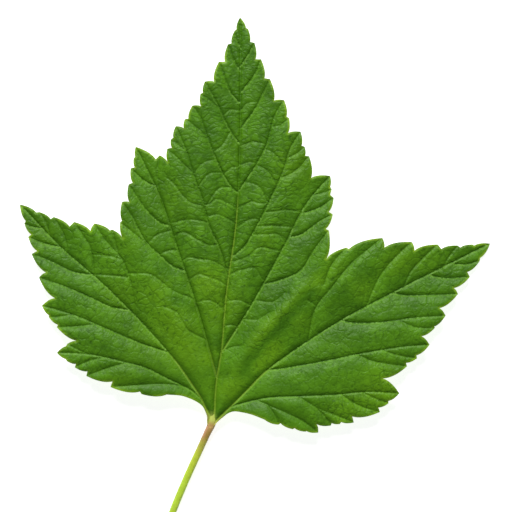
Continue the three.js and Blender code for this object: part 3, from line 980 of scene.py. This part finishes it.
    def middle(self, plan: np.ndarray) -> np.ndarray:
        """How much each point belongs to the middle lobe, from 0 to 1."""
        x, y = plan.T
        return (1 - ramp(np.abs(x - 4.5), 11.0, 17.0)) * ramp(y, 16.0, 32.0)

    def node(self, plan: np.ndarray) -> np.ndarray:
        """How much each point belongs to the pale knot in which the ribs meet.

        The knot is a bell across the stalk, wider where the stalk comes out, and fades towards the blade.

        Args:
            plan: points of the blade.

        Returns:
            Shares from 0 to 1.
        """
        x, y = plan.T
        width = 1.7 - 0.9 * ramp(y, -2.4, -0.8)
        return np.exp(-(((x - self.knot_x) / width) ** 2)) * (1 - ramp(y, -1.7, 1.4))

    def tail(self, plan: np.ndarray, edge: np.ndarray) -> np.ndarray:
        """How brown each point is: the knot's end, and the margin just beside the knot.

        Args:
            plan: points of the blade.
            edge: distance from the margin.

        Returns:
            Shares from 0 to 1.
        """
        x, y = plan.T
        near = np.exp(-((np.hypot(x - self.knot_x, y + 1.6) / 3.2) ** 4))
        return near * np.maximum(1 - ramp(y, -2.5, -1.4), 0.5 * (1 - ramp(edge, 0.1, 0.5)))

    def tone(self, plan: np.ndarray) -> np.ndarray:
        """How yellow or dark the blade is: the crease, painted yellower on its crest as a highlight and
        darker at its foot as shade, and soft patches, each one a bell.

        Args:
            plan: points of the blade.

        Returns:
            Tones from -1, dark, to 1, yellow.
        """
        # The crease's crest is painted yellower as a highlight and its foot darker as shade.
        total = 0.8 * self.relief.crease(plan) - 0.9 * self.relief.foot_shade(plan)
        for x, y, size, strength in TONE_PATCHES:
            total = total + strength * np.exp(-(((plan - (x, y)) ** 2).sum(axis=1)) / size**2)
        return np.clip(total, -1, 1)

    def surface_values(self, skin: Skin) -> dict[str, np.ndarray]:
        """Gathers what the finish reads.

        Args:
            skin: the skin.

        Returns:
            A number or a vector for each point of the skin, by name.
        """
        plan, marks = skin.plan, skin.marks
        flat = np.zeros(len(plan))
        names = ("gap", "near", "above", "cut", "across", "glow", "swell", "sure")
        lag = 0.3 * np.minimum(np.abs(marks.off), 3.0)  # rows of cells rise away from each vein
        return {name: getattr(marks, name) for name in names} | {
            "groove": marks.groove if skin.upper else marks.rib,
            "edge": skin.edge,
            "tone": self.tone(plan),
            "crinkle": self.crinkle(plan),
            "middle": self.middle(plan),
            "node": self.node(plan),
            "tail": self.tail(plan, skin.edge),
            "under": flat if skin.upper else flat + 1,
            "weft": np.column_stack([marks.run, marks.off, flat]),
            "warp": np.column_stack([plan[:, 0], plan[:, 1] - lag, flat]),
        }

    def shaped(self, form: SkinForm, loop: np.ndarray, upper: bool) -> Skin:
        """Divides one skin, measures it and gives it its heights.

        Args:
            form: how finely, and along which veins, the skin is divided.
            loop: the margin.
            upper: whether this is the upper skin.

        Returns:
            The skin.
        """
        plan, corners = self.skin(form, loop)
        marks = self.venation.mark(plan)
        edge = self.edge_distance(plan, loop)
        LOG.info("%s skin: %d points, %d triangles", "upper" if upper else "lower", len(plan), len(corners))
        return Skin(upper, plan, corners, marks, edge, self.heights(plan, marks, edge, upper))

    def build(self) -> bpy.types.Object:
        """Makes the shell with the attributes and the bake map that its material needs.

        Returns:
            The blade's object.
        """
        loop = self.margin.loop()
        ring = np.arange(len(loop))
        after = np.roll(ring, -1)
        top = self.shaped(UPPER_SKIN, loop, True)
        low = self.shaped(LOWER_SKIN, loop, False)
        count = len(top.plan)
        rim = np.concatenate([
            np.stack([ring, after, after + count], axis=1),
            np.stack([ring, after + count, ring + count], axis=1),
        ])  # fmt: skip
        faces = np.vstack([top.corners, low.corners[:, ::-1] + count, rim])
        mesh = mesh_of("leaf_blade", np.vstack([top.places(), low.places()]), faces, self.place)
        mark_sharp(mesh, np.concatenate([ring, ring + count]), np.concatenate([after, after + count]))
        self.give_bake_map(mesh, top, low, loop)
        lower_values = self.surface_values(low)
        for name, values in self.surface_values(top).items():
            give_attribute(mesh, name, np.concatenate([values, lower_values[name]]))
        return object_of(mesh)

    def give_bake_map(self, mesh: bpy.types.Mesh, top: Skin, low: Skin, loop: np.ndarray) -> None:
        """Lays both skins flat on one square, one beyond the other. The rim is a thin band round the upper.

        Args:
            mesh: the shell.
            top: the upper skin.
            low: the lower skin.
            loop: the margin.
        """
        gap = 3.0
        band = 0.25
        size = loop.max(axis=0) - loop.min(axis=0)
        side = max(size[0] + 2 * gap, 2 * size[1] + 3 * gap)
        corner = loop.min(axis=0) - gap
        flat_top = (top.plan - corner) / side
        flat_low = (low.plan - corner + (0, size[1] + gap)) / side
        way = np.roll(loop, -1, axis=0) - np.roll(loop, 1, axis=0)
        outward = np.stack([-way[:, 1], way[:, 0]], axis=1) / np.linalg.norm(way, axis=1)[:, None]
        flat_rim = (loop + band * outward - corner) / side
        corners = np.empty(len(mesh.loops), dtype=np.int32)
        mesh.loops.foreach_get("vertex_index", corners)
        places = np.vstack([flat_top, flat_low])[corners]
        rim_rows = np.arange(3 * (len(top.corners) + len(low.corners)), len(corners))
        below = rim_rows[corners[rim_rows] >= len(top.plan)]
        places[below] = flat_rim[corners[below] - len(top.plan)]
        mesh.uv_layers.new(name="OFBake").data.foreach_set("uv", places.ravel())


# --------------------------------------------------------------------------------------------------------
# Meshes
# --------------------------------------------------------------------------------------------------------


def mesh_of(name: str, places: np.ndarray, faces: np.ndarray, place: Vector) -> bpy.types.Mesh:
    """Makes a smooth mesh in metres, moved to its place.

    Args:
        name: the mesh's name.
        places: vertices in millimetres.
        faces: triangles, or quads.
        place: where the plan's own origin lies, in metres.

    Returns:
        The mesh.
    """
    mesh = bpy.data.meshes.new(name)
    mesh.from_pydata((places * MM + np.array(place)).tolist(), [], faces.tolist())
    mesh.polygons.foreach_set("use_smooth", np.ones(len(mesh.polygons), dtype=bool))
    mesh.update()
    return mesh


def object_of(mesh: bpy.types.Mesh) -> bpy.types.Object:
    """Links a mesh into the scene.

    Args:
        mesh: the mesh.

    Returns:
        An object of the same name, at the origin.
    """
    made = bpy.data.objects.new(mesh.name, mesh)
    bpy.context.scene.collection.objects.link(made)
    return made


def mark_sharp(mesh: bpy.types.Mesh, start: np.ndarray, end: np.ndarray) -> None:
    """Makes edges sharp.

    Args:
        mesh: the mesh.
        start: the first vertex of each edge.
        end: the other vertex of each edge.
    """
    pairs = np.empty(2 * len(mesh.edges), dtype=np.int32)
    mesh.edges.foreach_get("vertices", pairs)
    pairs = np.sort(pairs.reshape(-1, 2), axis=1).astype(np.int64)
    wanted = np.sort(np.stack([start, end], axis=1), axis=1).astype(np.int64)
    count = len(mesh.vertices)
    sharp = np.isin(pairs[:, 0] * count + pairs[:, 1], wanted[:, 0] * count + wanted[:, 1])
    mesh.attributes.new("sharp_edge", "BOOLEAN", "EDGE").data.foreach_set("value", sharp)


def give_attribute(mesh: bpy.types.Mesh, name: str, values: np.ndarray) -> None:
    """Stores something for each vertex.

    Args:
        mesh: the mesh.
        name: the attribute's name.
        values: one number, or one vector, for each vertex.
    """
    if values.ndim == 1:
        mesh.attributes.new(name, "FLOAT", "POINT").data.foreach_set("value", values.astype(np.float32))
    else:
        layer = mesh.attributes.new(name, "FLOAT_VECTOR", "POINT")
        layer.data.foreach_set("vector", values.astype(np.float32).ravel())


# --------------------------------------------------------------------------------------------------------
# The stalk
# --------------------------------------------------------------------------------------------------------


@dataclass
class Stalk:
    """The stalk: a round profile with a shallow channel along its top, carried along its middle line."""

    place: Vector
    radius: float = 0.7
    start_radius_share: float = 0.5
    neck_swelling: float = 1.2
    neck_middle: float = 0.075
    neck_reach: float = 0.035
    foot_swelling: float = 1.7
    end_reach: float = 0.06
    sides: int = 40
    step: float = 0.2
    channel: float = 0.07
    channel_angle: float = 0.45
    knobble: float = 0.02

    def swell(self, share: np.ndarray) -> np.ndarray:
        """How thick the stalk is along its length.

        It starts thin under the blade, and grows by a bell at the neck and by half a bell at the foot.

        Args:
            share: shares of the length.

        Returns:
            The factor of the radius at each.
        """
        neck = (self.neck_swelling - 1) * np.exp(-(((share - self.neck_middle) / self.neck_reach) ** 2))
        foot = (self.foot_swelling - 1) * np.exp(-(((1 - share) / self.end_reach) ** 2))
        start = 1 - (1 - self.start_radius_share) * (1 - ramp(share, 0.0, self.end_reach))
        return (1 + neck + foot) * start

    def build(self) -> bpy.types.Object:
        """Carries the profile along the line. The ends close with a fan round one middle point each.

        Returns:
            The stalk's object.
        """
        line = smooth_path(STALK_PATH, self.step)
        way = np.gradient(line, axis=0)
        way /= np.linalg.norm(way, axis=1)[:, None]
        right = np.cross(way, (0, 0, 1))
        right /= np.linalg.norm(right, axis=1)[:, None]
        up = np.cross(right, way)
        share = np.linspace(0, 1, len(line))
        angle = np.linspace(0, 2 * np.pi, self.sides, endpoint=False)
        furrow = 1 - self.channel * np.exp(-(((angle - np.pi / 2) / self.channel_angle) ** 2))
        radius = self.radius * self.swell(share)[:, None] * furrow
        u = np.stack(np.meshgrid(share * 60, np.sin(angle) * 1.5, indexing="ij"), axis=2).reshape(-1, 2)
        radius = radius + self.knobble * soft_noise(u, 1.0, 5.5).reshape(radius.shape)
        rings = (
            line[:, None, :]
            + (radius * np.cos(angle))[..., None] * right[:, None, :]
            + (radius * np.sin(angle))[..., None] * up[:, None, :]
        )
        places = np.vstack([rings.reshape(-1, 3), line[:1], line[-1:]])
        ring = np.arange(self.sides)
        after = np.roll(ring, -1)
        first = np.arange(len(line) - 1)[:, None] * self.sides
        a, b = first + ring, first + after
        walls = np.stack([a, b, b + self.sides, a + self.sides], axis=2).reshape(-1, 4)
        halves = np.vstack([walls[:, [0, 1, 2]], walls[:, [0, 2, 3]]])
        last = len(line) * self.sides
        start_cap = np.stack([after, ring, np.full_like(ring, last)], axis=1)
        end_ring = last - self.sides
        end_cap = np.stack([ring + end_ring, after + end_ring, np.full_like(ring, last + 1)], axis=1)
        mesh = mesh_of("leaf_stalk", places, np.vstack([halves, start_cap, end_cap]), self.place)
        run = np.concatenate([np.repeat(share, self.sides), [0, 1]])
        give_attribute(mesh, "run", run * self.length(line))
        give_attribute(mesh, "round", np.concatenate([np.tile(np.sin(angle), len(line)), [0, 0]]))
        give_attribute(mesh, "lean", np.concatenate([np.tile(np.cos(angle), len(line)), [0, 0]]))
        mark_sharp(mesh, ring + end_ring, after + end_ring)
        LOG.info("stalk: %d points, %.1f mm long", len(places), self.length(line))
        return object_of(mesh)

    @staticmethod
    def length(line: np.ndarray) -> float:
        """The length of a line."""
        return float(np.linalg.norm(np.diff(line, axis=0), axis=1).sum())


# --------------------------------------------------------------------------------------------------------
# Materials
# --------------------------------------------------------------------------------------------------------


def linear(code: str) -> tuple[float, float, float, float]:
    """Turns a colour's code into a linear colour.

    Args:
        code: a hexadecimal sRGB code such as "#4f8a2c".

    Returns:
        Red, green, blue and alpha.
    """
    values = [int(code[i : i + 2], 16) / 255 for i in (1, 3, 5)]
    red, green, blue = ((v / 12.92 if v <= 0.04045 else ((v + 0.055) / 1.055) ** 2.4) for v in values)
    return (red, green, blue, 1.0)


class Signal:
    """A socket's value. Arithmetic on it adds Math nodes."""

    def __init__(self, dye: "Dye", socket: bpy.types.NodeSocket) -> None:
        """Wraps a socket of a material's tree."""
        self.dye = dye
        self.socket = socket

    def math(self, operation: str, *values: "Signal | float") -> "Signal":
        """Adds a Math node on this value and others."""
        made = self.dye.node("ShaderNodeMath", {"operation": operation}, *values)
        return Signal(self.dye, made.outputs[0])

    def __add__(self, other: "Signal | float") -> "Signal":
        """This value plus another."""
        return self.math("ADD", self, other)

    __radd__ = __add__

    def __sub__(self, other: "Signal | float") -> "Signal":
        """This value minus another."""
        return self.math("SUBTRACT", self, other)

    def __rsub__(self, other: "Signal | float") -> "Signal":
        """Another value minus this one."""
        return self.math("SUBTRACT", other, self)

    def __mul__(self, other: "Signal | float") -> "Signal":
        """This value times another."""
        return self.math("MULTIPLY", self, other)

    __rmul__ = __mul__

    def towards(self, other: "Signal | float", share: "Signal") -> "Signal":
        """This value at share 0, the other at share 1."""
        return self + share * (other - self)

    def smooth(self, start: float, end: float) -> "Signal":
        """Adds a smoothstep of this value.

        Args:
            start: the value that gives 0.
            end: the value that gives 1.

        Returns:
            The result, from 0 to 1.
        """
        settings = {"interpolation_type": "SMOOTHSTEP"}
        made = self.dye.node("ShaderNodeMapRange", settings, self, start, end)
        return Signal(self.dye, made.outputs[0])


class Dye:
    """A material's node tree in the making."""

    def __init__(self, name: str) -> None:
        """Starts a material with a Principled shader and its output.

        Args:
            name: the material's name.
        """
        self.material = bpy.data.materials.new(name)
        self.material.use_nodes = True
        self.tree = self.material.node_tree
        self.tree.nodes.clear()
        self.shader = self.tree.nodes.new("ShaderNodeBsdfPrincipled")
        output = self.tree.nodes.new("ShaderNodeOutputMaterial")
        self.tree.links.new(self.shader.outputs[0], output.inputs["Surface"])
        self.known: dict[str, bpy.types.Node] = {}

    def node(self, kind: str, settings: dict, *values: object, **named: object) -> bpy.types.Node:
        """Adds a node.

        Args:
            kind: the node's type.
            settings: its properties, set before its sockets.
            values: a value, Signal or socket for each input in order, or None to leave it.
            named: the same for inputs by name, with _ for a space.

        Returns:
            The node.
        """
        made = self.tree.nodes.new(kind)
        for key, value in settings.items():
            setattr(made, key, value)
        pairs = [(made.inputs[i], value) for i, value in enumerate(values) if value is not None]
        pairs += [(made.inputs[key.replace("_", " ")], value) for key, value in named.items()]
        for socket, value in pairs:
            self.feed(socket, value)
        return made

    def feed(self, socket: bpy.types.NodeSocket, value: object) -> None:
        """Gives an input what it needs.

        Args:
            socket: the input.
            value: a Signal or a socket, which is linked, or a plain value, which is set.
        """
        if isinstance(value, Signal):
            self.tree.links.new(value.socket, socket)
        elif isinstance(value, bpy.types.NodeSocket):
            self.tree.links.new(value, socket)
        else:
            socket.default_value = value

    def stored(self, name: str) -> bpy.types.Node:
        """Adds the node that reads a stored attribute, or finds it again.

        Args:
            name: the attribute's name.

        Returns:
            The node.
        """
        if name not in self.known:
            self.known[name] = self.node("ShaderNodeAttribute", {"attribute_name": name})
        return self.known[name]

    def attribute(self, name: str) -> Signal:
        """A number stored on the mesh."""
        return Signal(self, self.stored(name).outputs["Fac"])

    def attribute_vector(self, name: str) -> bpy.types.NodeSocket:
        """A vector stored on the mesh."""
        return self.stored(name).outputs["Vector"]

    def place(self) -> bpy.types.NodeSocket:
        """The place on the object, in metres."""
        return self.node("ShaderNodeTexCoord", {}).outputs["Object"]

    def vector(self, operation: str, *values: object) -> bpy.types.NodeSocket:
        """A Vector Math node's vector."""
        return self.node("ShaderNodeVectorMath", {"operation": operation}, *values).outputs[0]

    def noise(self, place: bpy.types.NodeSocket, scale: float, detail: float) -> Signal:
        """Noise from about 0.25 to 0.75 round 0.5."""
        made = self.node("ShaderNodeTexNoise", {}, Vector=place, Scale=scale, Detail=detail)
        return Signal(self, made.outputs[0])

    def walls(self, place: bpy.types.NodeSocket, scale: float) -> Signal:
        """Adds a Voronoi pattern.

        Args:
            place: where the pattern is read.
            scale: cells in a unit of place.

        Returns:
            The distance to the nearest wall, in cells.
        """
        settings = {"feature": "DISTANCE_TO_EDGE"}
        made = self.node("ShaderNodeTexVoronoi", settings, Vector=place, Scale=scale)
        return Signal(self, made.outputs["Distance"])

    def blend(self, factor: Signal, start: object, end: object) -> bpy.types.NodeSocket:
        """Mixes two colours.

        Args:
            factor: 0 for the first colour, 1 for the second.
            start: the first, as a socket or a plain colour.
            end: the second.

        Returns:
            The mixed colour.
        """
        made = self.node("ShaderNodeMix", {"data_type": "RGBA"}, factor)
        self.feed(made.inputs[6], start)
        self.feed(made.inputs[7], end)
        return made.outputs[2]

    def finish(self, piece: bpy.types.Object, height: Signal, specular: float) -> None:
        """Adds the last settings and gives the material to a piece.

        Args:
            piece: the piece.
            height: the bumps, in millimetres.
            specular: how strongly the surface mirrors.
        """
        bump = self.node("ShaderNodeBump", {}, Strength=1.0, Distance=MM, Height=height)
        self.feed(self.shader.inputs["Normal"], bump.outputs["Normal"])
        self.shader.inputs["Specular IOR Level"].default_value = specular
        piece.data.materials.append(self.material)


@dataclass(frozen=True)
class BladeFinish:
    """The blade's two skins: a satin deep green above, dull and pale below."""

    deep: str = "#396704"
    mid: str = "#50830e"
    yellow: str = "#69990c"
    cool: str = "#3a6a1c"
    # A dark green painted in as shade in the grooves and creases, and also the colour of the leaf's dark
    # specks.
    furrow: str = "#274d00"
    node: str = "#b3bd54"
    tail: str = "#b08a50"
    line: str = "#7fa02c"
    # A pale green painted in as a highlight on each vein's lower side.
    lip_highlight: str = "#7ba648"
    rim: str = "#86aa24"
    under: str = "#8fb06a"
    under_line: str = "#b9cc92"
    roughness: float = 0.46
    specular: float = 0.17
    # Scales of the patterns, in cells a metre.
    cloud_scale: float = 60.0
    mottle_scale: float = 260.0
    net_scale: float = 560.0
    shake_scale: float = 700.0
    speck_scale: float = 1400.0
    grain_scales: tuple[float, float] = (2600.0, 900.0)
    # Heights of the bumps, in millimetres.
    pillow_height: float = 0.09
    grain_height: float = 0.05
    dent_depth: float = 0.1

    def dress(self, piece: bpy.types.Object) -> None:
        """Gives a piece this finish.

        Args:
            piece: the piece, which has the attributes that the finish reads.
        """
        dye = Dye("blade_green")
        place = dye.place()
        mottle = dye.noise(place, self.mottle_scale, 3.0).smooth(0.35, 0.65)
        pillow, seam = self.network(dye, place)
        under = dye.attribute("under")
        above = self.upper_colour(dye, place, mottle, seam)
        below = dye.blend(mottle * 0.4, linear(self.under), linear(self.cool))
        below = dye.blend(dye.attribute("groove").smooth(0.02, 0.2), below, linear(self.under_line))
        dye.feed(dye.shader.inputs["Base Color"], dye.blend(under, above, below))
        dye.feed(dye.shader.inputs["Roughness"], self.roughness + 0.15 * seam + 0.25 * under)
        fine, coarse = self.grain_scales
        grain = dye.noise(place, fine, 1.0) + dye.noise(place, coarse, 1.0) * 1.6
        dent = (1 - dye.attribute("gap").smooth(0.0, 0.3)) * dye.attribute("cut")
        pillow = pillow * dye.attribute("crinkle") * self.pillow_height
        dye.finish(piece, pillow + grain * self.grain_height - dent * self.dent_depth, self.specular)

    def network(self, dye: Dye, place: bpy.types.NodeSocket) -> tuple[Signal, Signal]:
        """The finest veins: cells in rows beside the larger veins, and a plain net where two of those meet.

        Args:
            dye: the material in the making.
            place: the place on the object.

        Returns:
            How far each cell bulges, and how much its walls are darkened as painted shade in their creases,
            both from 0 to 1.
        """
        middle = dye.attribute("middle")
        noise = dye.node("ShaderNodeTexNoise", {}, Vector=place, Scale=self.shake_scale, Detail=3.0)
        shake = dye.vector("SUBTRACT", noise.outputs["Color"], (0.5, 0.5, 0.5))
        shake = dye.vector("MULTIPLY", shake, (1.6, 1.6, 1.6))
        along = dye.vector("ADD", dye.attribute_vector("weft"), shake)
        along = dye.vector("MULTIPLY", along, (0.95, 0.36, 1.0))
        sway = dye.vector("MULTIPLY", shake, (1.2, 0.8, 0.0))
        level = dye.vector("ADD", dye.attribute_vector("warp"), sway)
        level = dye.vector("MULTIPLY", level, (0.48, 0.95, 1.0))
        rows = dye.walls(along, 1.0).towards(dye.walls(level, 1.0), middle)
        shifted = dye.vector("ADD", place, dye.vector("MULTIPLY", shake, (MM, MM, MM)))
        net = dye.walls(shifted, self.net_scale)
        sure = (dye.attribute("sure") * 0.35).towards(middle * 0.75, middle)
        pillow = net.smooth(0.0, 0.2).towards(rows.smooth(0.0, 0.24), sure)
        seam = (0.8 - 0.8 * net.smooth(0.0, 0.1)).towards(1 - rows.smooth(0.0, 0.16), sure)
        return pillow, seam * dye.attribute("crinkle")

    def upper_colour(
        self, dye: Dye, place: bpy.types.NodeSocket, mottle: Signal, seam: Signal
    ) -> bpy.types.NodeSocket:
        """The colour of the upper side, with painted shade in the grooves and creases and a painted highlight
        below each vein.

        Args:
            dye: the material in the making.
            place: the place on the object.
            mottle: the leaf's soft spots, from 0 to 1.
            seam: how much the finest veins' creases are darkened as painted shade, from 0 to 1.

        Returns:
            The colour.
        """
        furrow = linear(self.furrow)
        cut, above, tone = dye.attribute("cut"), dye.attribute("above"), dye.attribute("tone")
        cloud = dye.noise(place, self.cloud_scale, 2.0).smooth(0.35, 0.65)
        speck = dye.noise(place, self.speck_scale, 2.0).smooth(0.56, 0.72)
        # Painted shade: the next three masks darken the grooves, each vein's upper side, which faces away
        # from the light, and the V above where side veins branch.
        groove = dye.attribute("groove").smooth(0.0, 0.3)
        shade = (1 - dye.attribute("near").smooth(0.1, 1.3)) * cut * above.smooth(-0.15, 0.4)
        fork_shade = (1 - dye.attribute("swell")).smooth(0.15, 1.0) * above.smooth(-0.3, 0.3)
        # Painted highlight: a pale line on each vein's lower side, which faces the light.
        lip_highlight = (1 - dye.attribute("gap").smooth(0.12, 0.42)) * cut * cut * (above * -1.0).smooth(0.1, 0.7)
        line = (1 - dye.attribute("across").smooth(0.6, 1.3)) * dye.attribute("glow")
        rim = (1 - dye.attribute("edge").smooth(0.08, 0.6)) * (0.12 + mottle * 0.55)
        colour = dye.blend(mottle * 0.6 + cloud * 0.4, linear(self.deep), linear(self.mid))
        # The tone paints the crease's crest yellower as a highlight and its foot darker as shade, besides the
        # leaf's own patches.
        colour = dye.blend(tone * 0.6, colour, linear(self.yellow))
        colour = dye.blend(tone * -0.55, colour, furrow)
        # Painted shade in the grooves, on each vein's upper side and in the V above where side veins branch.
        colour = dye.blend(groove * 0.1 + shade * 0.38 + fork_shade * 0.14, colour, furrow)
        # Painted shade in the creases of the finest veins, together with the leaf's own dark specks.
        colour = dye.blend(seam * 0.66 + speck * 0.45, colour, furrow)
        # Painted highlight on each vein's lower side.
        colour = dye.blend(lip_highlight * 0.6, colour, linear(self.lip_highlight))
        colour = dye.blend(line, colour, linear(self.line))
        colour = dye.blend(rim, colour, linear(self.rim))
        colour = dye.blend(dye.attribute("node"), colour, linear(self.node))
        return dye.blend(dye.attribute("tail") * 0.85, colour, linear(self.tail))


@dataclass(frozen=True)
class StalkFinish:
    """The stalk: yellow-green at the blade, reddish brown just below it, then bright green to the foot."""

    # The run along the stalk, in millimetres, and the colour there.
    stops: tuple[tuple[float, str], ...] = (
        (0.0, "#8fae3a"), (3.2, "#b3bd54"), (4.6, "#b08a50"), (6.6, "#a0803c"), (8.6, "#aca640"),
        (11.5, "#b6c636"), (18.0, "#b2d036"), (42.0, "#a4c23c"), (47.6, "#9a8a4c"),
    )
    shade: str = "#7f9a2c"
    blush: str = "#c08a70"
    roughness: float = 0.42
    specular: float = 0.35

    def dress(self, piece: bpy.types.Object) -> None:
        """Gives a piece this finish.

        Args:
            piece: the piece, which has the attributes that the finish reads.
        """
        dye = Dye("stalk_green")
        run = dye.attribute("run")
        lean = dye.attribute("lean")
        colour: object = linear(self.stops[0][1])
        for (start, _), (end, code) in zip(self.stops, self.stops[1:]):
            colour = dye.blend(run.smooth(start, end), colour, linear(code))
        height = dye.attribute("round") * 5.0
        streak = dye.node("ShaderNodeCombineXYZ", {}, run * 0.4, lean * 5.0, height).outputs[0]
        colour = dye.blend(dye.noise(streak, 1.2, 3.0).smooth(0.45, 0.7) * 0.35, colour, linear(self.shade))
        flushed = run.smooth(3.4, 4.6) * (1 - run.smooth(6.5, 8.5)) * lean.smooth(-0.1, 0.8)
        colour = dye.blend(flushed * 0.6, colour, linear(self.blush))
        dye.feed(dye.shader.inputs["Base Color"], colour)
        gloss = dye.noise(dye.place(), 1500.0, 2.0)
        dye.feed(dye.shader.inputs["Roughness"], self.roughness + 0.1 * gloss)
        dye.finish(piece, dye.noise(streak, 3.0, 3.0) * 0.05, self.specular)


# --------------------------------------------------------------------------------------------------------
# The studio
# --------------------------------------------------------------------------------------------------------


@dataclass
class Studio:
    """A pale floor, soft light from beyond the leaf's point, and a camera that looks straight down."""

    place: Vector
    middle: tuple[float, float] = (9.3, 31.7)
    width: float = 102.4
    # These are in metres, apart from watts, colours and strengths.
    distance: float = 0.9
    key_place: tuple[float, float, float] = (-0.1, 0.75, 0.75)
    key_watts: float = 15.0
    key_size: float = 0.4
    sky: tuple[float, float, float] = (0.93, 0.97, 1.0)
    fill_strength: float = 0.24
    floor_size: float = 6.0
    floor_grey: float = 0.6
    floor_glow: float = 0.8

    def build(self) -> None:
        """Makes the floor, the lights and the camera."""
        self.floor()
        self.lights()
        self.camera()
        bpy.context.scene.view_settings.view_transform = "Standard"

    def floor(self) -> None:
        """A plain near-white sheet under the leaf, lit a little from within so that shadows stay faint."""
        half = self.floor_size / 2 / MM
        corners = np.array([[-half, -half, 0], [half, -half, 0], [half, half, 0], [-half, half, 0]])
        sheet = object_of(mesh_of("floor", corners, np.array([[0, 1, 2, 3]]), Vector((0, 0, 0))))
        dye = Dye("floor_white")
        dye.shader.inputs["Base Color"].default_value = (*(self.floor_grey,) * 3, 1.0)
        dye.shader.inputs["Emission Color"].default_value = (1.0, 1.0, 1.0, 1.0)
        dye.shader.inputs["Emission Strength"].default_value = self.floor_glow
        dye.shader.inputs["Roughness"].default_value = 0.9
        dye.shader.inputs["Specular IOR Level"].default_value = 0.1
        sheet.data.materials.append(dye.material)

    def lights(self) -> None:
        """A wide key light past the leaf's point, half-way up, and an even pale sky."""
        lamp = bpy.data.lights.new("key", "AREA")
        lamp.energy = self.key_watts
        lamp.size = self.key_size
        key = bpy.data.objects.new("key", lamp)
        key.location = self.key_place
        key.rotation_euler = (-key.location).to_track_quat("-Z", "Y").to_euler()
        bpy.context.scene.collection.objects.link(key)
        world = bpy.data.worlds.new("sky")
        world.use_nodes = True
        background = world.node_tree.nodes["Background"]
        background.inputs["Color"].default_value = (*self.sky, 1.0)
        background.inputs["Strength"].default_value = self.fill_strength
        bpy.context.scene.world = world

    def camera(self) -> None:
        """A long lens straight above, with the leaf's point towards the top of the frame."""
        lens = bpy.data.cameras.new("camera")
        lens.lens = lens.sensor_width * self.distance / (self.width * MM)
        camera = bpy.data.objects.new("camera", lens)
        x, y = self.middle
        camera.location = self.place + Vector((x * MM, y * MM, self.distance))
        bpy.context.scene.collection.objects.link(camera)
        bpy.context.scene.camera = camera


def main() -> None:
    """Builds the studio, the blade and the stalk, and hangs them on the frame."""
    logging.basicConfig(level=logging.INFO, format="%(name)s: %(message)s")
    low, high = (Vector(corner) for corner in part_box("leaf"))
    place = Vector((low.x - LEFT_LOBE_POINT[0] * MM, high.y - LEAF_POINT[1] * MM, low.z))
    Studio(place).build()
    blade = Blade(place).build()
    BladeFinish().dress(blade)
    stalk = Stalk(place).build()
    StalkFinish().dress(stalk)
    for piece in (blade, stalk):
        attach(piece, "root")
        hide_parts("leaf")
        LOG.info("%s: %d faces", piece.name, len(piece.data.polygons))


if __name__ == "__main__":
    main()
